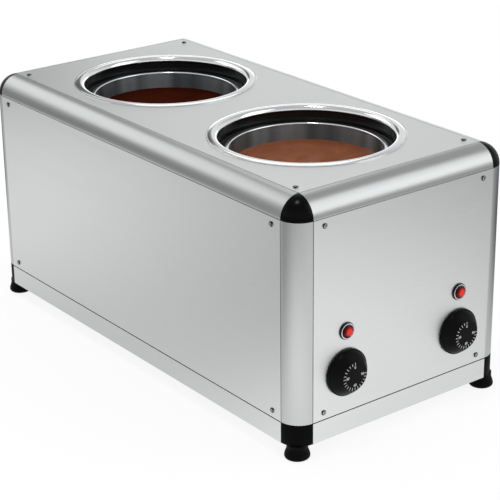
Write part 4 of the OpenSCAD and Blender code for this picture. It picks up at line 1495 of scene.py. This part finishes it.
@dataclass(frozen=True)
class PilotLamp:
    """One pilot lamp over its dial.

    Attributes:
        layout: The case's places.
        side: The side of the front panel that it is on.
        bezel_height: How far the bezel stands out of the panel.
        bezel_lip: The width of the bezel's flat lip round the lens.
        bezel_drop: How far its outer slope falls.
        bezel_edge: The width of the bevel round its hole.
        slope_start: How far past the lip the slope with the painted shade starts.
        facets: The number of the lens's sides.
        lens_gap: The gap between the lens and the bezel.
        lens_seat: How deep the lens sits in the bezel.
        lens_neck: The height of the lens's upright sides.
        lens_round: The rounding between the lens's facets.
        table: The share of the lens's width that its flat middle takes.
    """

    layout: Layout
    side: Side
    bezel_height: float = 2.4 * MM
    bezel_lip: float = 1 * MM
    bezel_drop: float = 1.7 * MM
    bezel_edge: float = 0.3 * MM
    slope_start: float = 0.4 * MM
    facets: int = 10
    lens_gap: float = 0.1 * MM
    lens_seat: float = 1.2 * MM
    lens_neck: float = 2.2 * MM
    lens_round: float = 0.18 * MM
    table: float = 0.52

    def bezel(self, radius: float, bore: float) -> Piece:
        """Turns the bezel's ring.

        Args:
            radius: Its outer radius.
            bore: The radius of the hole for the lens.

        Returns:
            The bezel, with its axis on Z and its front up.
        """
        top, edge = self.bezel_height, self.bezel_edge
        shelf = bore + self.bezel_lip
        outline = [(bore, 0.0), (bore, top - edge), (bore + edge, top)]
        for across, rise in arc((0, 0), 1.0, 90, 0, steps=12):
            outline.append((shelf + (radius - shelf) * across, top - self.bezel_drop * (1 - rise)))
        outline += [(radius, 0.0), (bore, 0.0)]
        return Bench.smooth(Bench.turn("bezel_pattern", outline, segments=72), angle=40)

    def lens(self, radius: float, height: float) -> Piece:
        """Shapes the faceted lens.

        Args:
            radius: The radius of its corners.
            height: Its height from its seat.

        Returns:
            The lens, with its axis on Z and its front up.
        """
        outline = arc((0, 0), radius, 0, 360, self.facets)[:-1]
        piece = Bench.prism("lens_pattern", outline, 0.0, self.lens_neck)
        Bench.pick(piece, lambda centre, normal: normal.z > FACING)
        rise = (0, 0, height - self.lens_neck)
        bpy.ops.mesh.extrude_region_move(TRANSFORM_OT_translate={"value": rise})
        bpy.ops.transform.resize(value=(self.table, self.table, 1), center_override=(0, 0, height))
        Bench.edit(piece)
        Bench.settle()
        Bench.soften(piece, self.lens_round, segments=2, sharp=20)
        return piece

    def build(self) -> None:
        """Makes the bezel and the lens, and puts them on the front panel."""
        word = self.side.word
        node, lens_node = f"lamp_bezel_{word}", f"lamp_lens_{word}"
        low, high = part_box(node)
        lens_low, lens_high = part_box(lens_node)
        axis = ((low.x + high.x) / 2, (low.z + high.z) / 2)
        radius = (lens_high.x - lens_low.x) / 2
        slope = radius + self.bezel_lip + self.slope_start
        panel = -self.layout.half_length
        spot = Matrix.Translation((axis[0], panel, axis[1])) @ FACE_FRONT
        seat = self.bezel_height - self.lens_seat
        bezel = self.bezel((high.x - low.x) / 2, radius + self.lens_gap)
        lens = self.lens(radius, panel - lens_low.y - seat)
        # Red acrylic: it glows in the middle and darkens to its rim.
        acrylic = LampAcrylic(f"red_acrylic_{word}", "red_lens", "#DE2A1F", "#330303", axis, radius)
        ring = mount(bezel, f"{node}_turned", spot, CHROME, "case", node)
        # The bezel's outer slope takes a painted shade, a dark crescent round the lip.
        part_finish(
            ring, BEZEL_SLOPE_PAINTED_SHADE,
            lambda centre, normal: math.hypot(centre.x - axis[0], centre.z - axis[1]) > slope)
        place = spot @ Matrix.Translation((0, 0, seat))
        mount(lens, f"{lens_node}_faceted", place, acrylic, "case", lens_node)
        Bench.drop(bezel, lens)


@dataclass(frozen=True)
class PanelScrews:
    """The cross-recessed screws at the panels' corners.

    Attributes:
        layout: The case's places.
        head: The radius of a head.
        height: Its height.
        rim: The height of its upright edge, and how far it goes into the panel.
        along: From a post's inner corner to a screw, along the panel.
        edge: From a panel's upper or lower edge to a screw.
        slot: The width of the recess.
        slot_reach: The length of one arm of the recess.
        slot_depth: Its depth.
        flat: The share of a normal along an axis under which a face is on the head's slope and takes the
            painted shade.
    """

    layout: Layout
    head: float = 3 * MM
    height: float = 1.55 * MM
    rim: float = 0.5 * MM
    along: float = 14.5 * MM
    edge: float = 8 * MM
    slot: float = 0.8 * MM
    slot_reach: float = 1.7 * MM
    slot_depth: float = 0.9 * MM
    flat: float = 0.955

    def screw(self) -> Piece:
        """Makes one head with its cross recess.

        Returns:
            The head, with its axis on Z.
        """
        crown = self.height - self.rim
        outline = [(self.head * x, self.rim + crown * y) for x, y in arc((0, 0), 1.0, 90, 0, steps=6)]
        outline += [(self.head, -self.rim), (0.0, -self.rim)]
        piece = Bench.turn("screw_pattern", outline, segments=32)
        reach, half = self.slot_reach, self.slot / 2
        arm = [(half, half), (half, reach), (-half, reach)]
        cross = []
        for _ in range(4):
            cross += arm
            arm = [(-y, x) for x, y in arm]
        tool = Bench.prism("recess_tool", cross, self.height - self.slot_depth, 2 * self.height)
        Bench.cut(piece, tool)
        return Bench.smooth(piece)

    def places(self) -> list[Matrix]:
        """Lists where the twenty screws go.

        Returns:
            The place of each.
        """
        case = self.layout
        found = []
        for side in Side:
            for end in End:
                along_x = side.value * (case.post_x - self.along)
                along_y = end.value * (case.post_y - self.along)
                for height in (case.seam + self.edge, case.rail - self.edge):
                    out = Matrix.Rotation(-end.value * math.pi / 2, 4, "X")
                    found.append(Matrix.Translation((along_x, end.value * case.half_length, height)) @ out)
                    out = Matrix.Rotation(side.value * math.pi / 2, 4, "Y")
                    found.append(Matrix.Translation((side.value * case.half_width, along_y, height)) @ out)
                inset = side.value * (case.post_x - self.edge)
                found.append(Matrix.Translation((inset, along_y, case.top)))
        return found

    def build(self) -> None:
        """Copies the screw to its places and joins the copies."""
        screw = self.screw()
        copies = [Bench.copy(screw, f"screw_{count}", place) for count, place in enumerate(self.places())]
        Bench.drop(screw)
        heads = Bench.join("panel_screw_heads", copies)
        dress(heads, PLATED_STEEL, "case", "panel_screws")
        # The heads' slopes take a painted shade, a dark ring round each bright middle.
        part_finish(heads, SCREW_SLOPE_PAINTED_SHADE, lambda centre, normal: max(map(abs, normal)) < self.flat)


@dataclass(frozen=True)
class CableGland:
    """The gland in the rear panel, whose dome cap has grips round it.

    Attributes:
        bore: The radius of the cap's opening.
        lip: The bevel round that opening.
        crown: The rounding of the dome.
        grips: The number of grips round the cap.
        grip: The radius of the hollow between two grips.
        grip_offset: How far outside the cap's radius the hollow's middle is.
        grip_start: How far from the panel's end of the cap the hollows start.
    """

    bore: float = 4.8 * MM
    lip: float = 0.6 * MM
    crown: float = 4 * MM
    grips: int = 12
    grip: float = 1.1 * MM
    grip_offset: float = 0.55 * MM
    grip_start: float = 1 * MM

    def build(self) -> None:
        """Turns the dome cap, cuts its grips, and dresses the gland."""
        node = "gland_dome_cap"
        low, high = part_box(node)
        radius, length = (high.x - low.x) / 2, high.y - low.y
        outline = [(self.bore, 0.0), (self.bore, length - self.lip), (self.bore + self.lip, length)]
        outline += arc((radius - self.crown, length - self.crown), self.crown, 90, 0, steps=10)
        outline += [(radius, 0.0), (self.bore, 0.0)]
        cap = Bench.turn("dome_pattern", outline, segments=96)
        for centre in arc((0, 0), radius + self.grip_offset, 0, 360, self.grips)[:-1]:
            hollow = arc(centre, self.grip, 0, 360, steps=16)[:-1]
            Bench.cut(cap, Bench.prism("grip_tool", hollow, self.grip_start, length - self.crown))
        Bench.smooth(cap)
        spot = Matrix.Translation(((low.x + high.x) / 2, low.y, (low.z + high.z) / 2))
        mount(cap, f"{node}_turned", spot @ FACE_REAR, GLAND_NYLON, "case", node)
        Bench.drop(cap)
        coat(GLAND_NYLON, "cable_gland", "gland_lock_nut")


@dataclass(frozen=True)
class InnerWorks:
    """What is inside the case or under it, which keeps the CAD's shapes."""

    def build(self) -> None:
        """Dresses the thermostats, the wiring and the hidden screws."""
        coat(THERMOSTAT_BODY, *(f"thermostat_{side.word}" for side in Side))
        coat(PLATED_STEEL, *(f"thermostat_shaft_{side.word}" for side in Side))
        coat(COPPER, *(f"sensor_{end.word}" for end in End))
        coat(TERMINAL_PLASTIC, "terminal_block")
        coat(WIRE_INSULATION, "wiring_harness")
        coat(PLATED_STEEL, "lamp_nuts", "base_screws", "foot_screws", "thermostat_screws")


@dataclass(frozen=True)
class Card:
    """A black card round the tank, which mirrors see.

    Attributes:
        middle: The direction of its middle.
        core: The angle within which it is darkest, in degrees.
        edge: The angle at which it ends, in degrees.
        past: How much light comes past it.
    """

    middle: Point3
    core: float
    edge: float
    past: float


@dataclass(frozen=True)
class Pool:
    """A pool of light on the floor, or a black card that lies there, which mirrors see.

    Attributes:
        centre: Its middle.
        reach: Its radius, in metres.
        gain: How much brighter its middle is. A card's is below zero.
    """

    centre: Point3
    reach: float
    gain: float


@dataclass(frozen=True)
class Softbox:
    """A rectangle of even light.

    Attributes:
        name: Its name.
        place: Where it hangs.
        size: Its width and height.
        radiance: How bright its face is, where 1 is white.
    """

    name: str
    place: Point3
    size: Point2
    radiance: float

    def hang(self, aim: Point3) -> None:
        """Hangs the softbox.

        Args:
            aim: The point that it faces.
        """
        lamp = bpy.data.lights.new(self.name, "AREA")
        lamp.shape = "RECTANGLE"
        lamp.size, lamp.size_y = self.size
        lamp.energy = self.radiance * math.pi * self.size[0] * self.size[1]
        box = bpy.data.objects.new(self.name, lamp)
        bpy.context.scene.collection.objects.link(box)
        box.location = self.place
        box.rotation_euler = (Vector(aim) - Vector(self.place)).to_track_quat("-Z", "Y").to_euler()


@dataclass(frozen=True)
class Studio:
    """A pale floor and soft light at a plain level.

    Attributes:
        floor_size: The side of the floor, in metres.
        camera_share: How much of the floor's white comes of itself to the camera.
        mirror_share: How much of it comes of itself to what mirrors the floor.
        ambient: The strength of the world's light on matt surfaces.
        horizon: The strength of what mirrors see round the horizon.
        zenith: The strength of what mirrors see overhead.
        horizon_rise: The height up to which it is as at the horizon, in degrees.
        zenith_rise: The height from which it is as overhead, in degrees.
        floor_dim: The strength of the mirrored floor away from its pools of light.
        aim: The point that the softboxes face.
        cards: The black cards behind the tank.
        pools: The pools of light on the floor, and the cards that lie behind the tank and on its right.
        softboxes: The lights.
    """

    floor_size: float = 14.0
    camera_share: float = 0.85
    mirror_share: float = 1.0
    ambient: float = 0.85
    horizon: float = 0.8
    zenith: float = 0.52
    horizon_rise: float = 18.0
    zenith_rise: float = 40.0
    floor_dim: float = 0.45
    aim: Point3 = (0.0, 0.0, 0.25)
    cards: tuple[Card, ...] = (
        Card((0.384, 0.87, 0.309), 4.0, 11.0, 0.15),
        Card((-0.586, 0.806, 0.087), 6.0, 15.0, 0.3),
    )
    pools: tuple[Pool, ...] = (
        Pool((0.0, -0.65, 0.0), 0.95, 0.78),
        Pool((-0.42, -0.45, 0.0), 0.48, 0.56),
        Pool((-0.38, 0.74, 0.0), 0.85, 0.74),
        Pool((-1.5, 1.9, 0.0), 1.5, -0.3),
        Pool((-0.2, 0.08, 0.0), 0.6, 0.18),
        Pool((0.05, 0.95, 0.0), 0.6, -0.8),
        Pool((0.68, -0.2, 0.0), 0.6, -0.4),
        Pool((-0.1, 0.76, 0.0), 0.3, -0.5),
    )
    softboxes: tuple[Softbox, ...] = (
        Softbox("front_right_softbox", (0.94, -1.27, 1.14), (1.2, 1.46), 1.17),
        Softbox("rear_left_softbox", (-0.54, 1.65, 1.51), (1.56, 1.07), 0.95),
        Softbox("rear_right_strip", (1.4, 1.35, 0.45), (1.4, 0.36), 0.85),
        Softbox("rear_right_softbox", (0.84, 1.04, 1.74), (0.9, 1.0), 0.7),
        Softbox("top_softbox", (-0.38, -0.27, 2.25), (0.32, 0.4), 20.0),
    )

    @staticmethod
    def open_tree(owner: bpy.types.Material | bpy.types.World) -> tuple[Tree, Socket, Socket]:
        """Empties a node tree and asks what kind of ray comes to it.

        Args:
            owner: The material or the world that has the tree.

        Returns:
            The tree, what is 1 for the camera's rays, and what is 1 for mirrored or refracted ones.
        """
        owner.use_nodes = True
        tree = owner.node_tree
        tree.nodes.clear()
        rays = add_node(tree, "ShaderNodeLightPath")
        mirrored = maths(tree, "MAXIMUM", rays.outputs["Is Glossy Ray"], rays.outputs["Is Transmission Ray"])
        return tree, rays.outputs["Is Camera Ray"], mirrored

    def floor(self) -> None:
        """Lays the floor, which shows white and keeps a soft shadow."""
        Bench.clear()
        bpy.ops.mesh.primitive_plane_add(size=self.floor_size)
        plane = Bench.name(bpy.context.object, "studio_floor")
        paper = bpy.data.materials.new("white_paper_sweep")
        tree, camera, mirrored = self.open_tree(paper)
        seen = maths(tree, "MULTIPLY", camera, self.camera_share)
        share = maths(tree, "MULTIPLY_ADD", mirrored, self.mirror_share, seen)
        place = object_place(tree)
        strength: Feed = self.floor_dim
        for pool in self.pools:
            away = vectors(tree, "DISTANCE", place, pool.centre, out="Value")
            light = span(tree, away, 0.0, pool.reach, pool.gain, 0.0, smooth=True)
            strength = maths(tree, "ADD", light, strength)
        shown = choose(tree, camera, strength, 1.0)
        lit = add_node(tree, "ShaderNodeBsdfDiffuse", {"Color": linear("#FAFAFA")})
        white = add_node(tree, "ShaderNodeEmission", {"Color": linear("#FFFFFF"), "Strength": shown})
        mixed = add_node(tree, "ShaderNodeMixShader", {0: share, 1: lit.outputs[0], 2: white.outputs[0]})
        add_node(tree, "ShaderNodeOutputMaterial", {"Surface": mixed.outputs[0]})
        plane.data.materials.append(paper)

    def world(self) -> None:
        """Makes the world white behind the object, pale in mirrors and softer overhead."""
        world = bpy.data.worlds.new("white_studio")
        bpy.context.scene.world = world
        tree, camera, mirrored = self.open_tree(world)
        view = add_node(tree, "ShaderNodeTexCoord").outputs["Generated"]
        height = add_node(tree, "ShaderNodeSeparateXYZ", {0: view}).outputs["Z"]
        low, high = (math.sin(math.radians(rise)) for rise in (self.horizon_rise, self.zenith_rise))
        carded = span(tree, height, low, high, self.horizon, self.zenith, smooth=True)
        for card in self.cards:
            toward = vectors(tree, "DOT_PRODUCT", view, card.middle, out="Value")
            edge, core = (math.cos(math.radians(angle)) for angle in (card.edge, card.core))
            shade = span(tree, toward, edge, core, 1.0, card.past, smooth=True)
            carded = maths(tree, "MULTIPLY", carded, shade)
        strength = maths(tree, "MAXIMUM", choose(tree, mirrored, self.ambient, carded), camera)
        sky = add_node(tree, "ShaderNodeBackground", {"Color": linear("#FFFFFF"), "Strength": strength})
        add_node(tree, "ShaderNodeOutputWorld", {"Surface": sky.outputs[0]})

    def build(self) -> None:
        """Sets up the floor, the world and the softboxes."""
        self.floor()
        self.world()
        for softbox in self.softboxes:
            softbox.hang(self.aim)


@dataclass(frozen=True)
class Viewpoint:
    """The camera, at the photograph's viewing angle.

    Attributes:
        azimuth: The angle round the object, in degrees.
        elevation: The angle over the floor, in degrees.
        roll: The turn about its own axis, in degrees.
        distance: The distance from the target, in metres.
        focal: The focal length over the width of the frame.
        target: The point behind the middle of the frame.
    """

    azimuth: float = -37.44
    elevation: float = 22.2
    roll: float = -0.67
    distance: float = 2.038
    focal: float = 3.3946
    target: Point3 = (0.0105, -0.0165, 0.1136)

    def build(self) -> None:
        """Makes the camera and the plain view settings."""
        turn, rise = math.radians(self.azimuth), math.radians(self.elevation)
        back = Vector((math.sin(turn) * math.cos(rise), -math.cos(turn) * math.cos(rise), math.sin(rise)))
        camera = bpy.data.cameras.new("photo_camera")
        camera.sensor_fit = "HORIZONTAL"
        camera.lens = self.focal * camera.sensor_width
        holder = bpy.data.objects.new("photo_camera", camera)
        bpy.context.scene.collection.objects.link(holder)
        holder.location = Vector(self.target) + back * self.distance
        level = back.to_track_quat("Z", "Y")
        holder.rotation_euler = (level @ Quaternion((0, 0, 1), math.radians(self.roll))).to_euler()
        bpy.context.scene.camera = holder
        bpy.context.scene.view_settings.view_transform = "Standard"


def main() -> None:
    """Builds the studio and each sub-assembly in order."""
    logging.basicConfig(level=logging.INFO, format="%(name)s: %(message)s")
    layout = Layout.measure()
    parts = [
        Viewpoint(),
        Studio(),
        SheetPanels(),
        ProfileFrame(layout),
        CornerMouldings(layout),
        HeatedWell(End.FRONT, MILK_CHOCOLATE),
        HeatedWell(End.REAR, DARK_CHOCOLATE),
        *(ControlDial(side) for side in Side),
        *(PilotLamp(layout, side) for side in Side),
        PanelScrews(layout),
        CableGland(),
        InnerWorks(),
    ]
    for part in parts:
        LOG.info("building %s", type(part).__name__)
        part.build()
    Bench.clear()


if __name__ == "__main__":
    main()
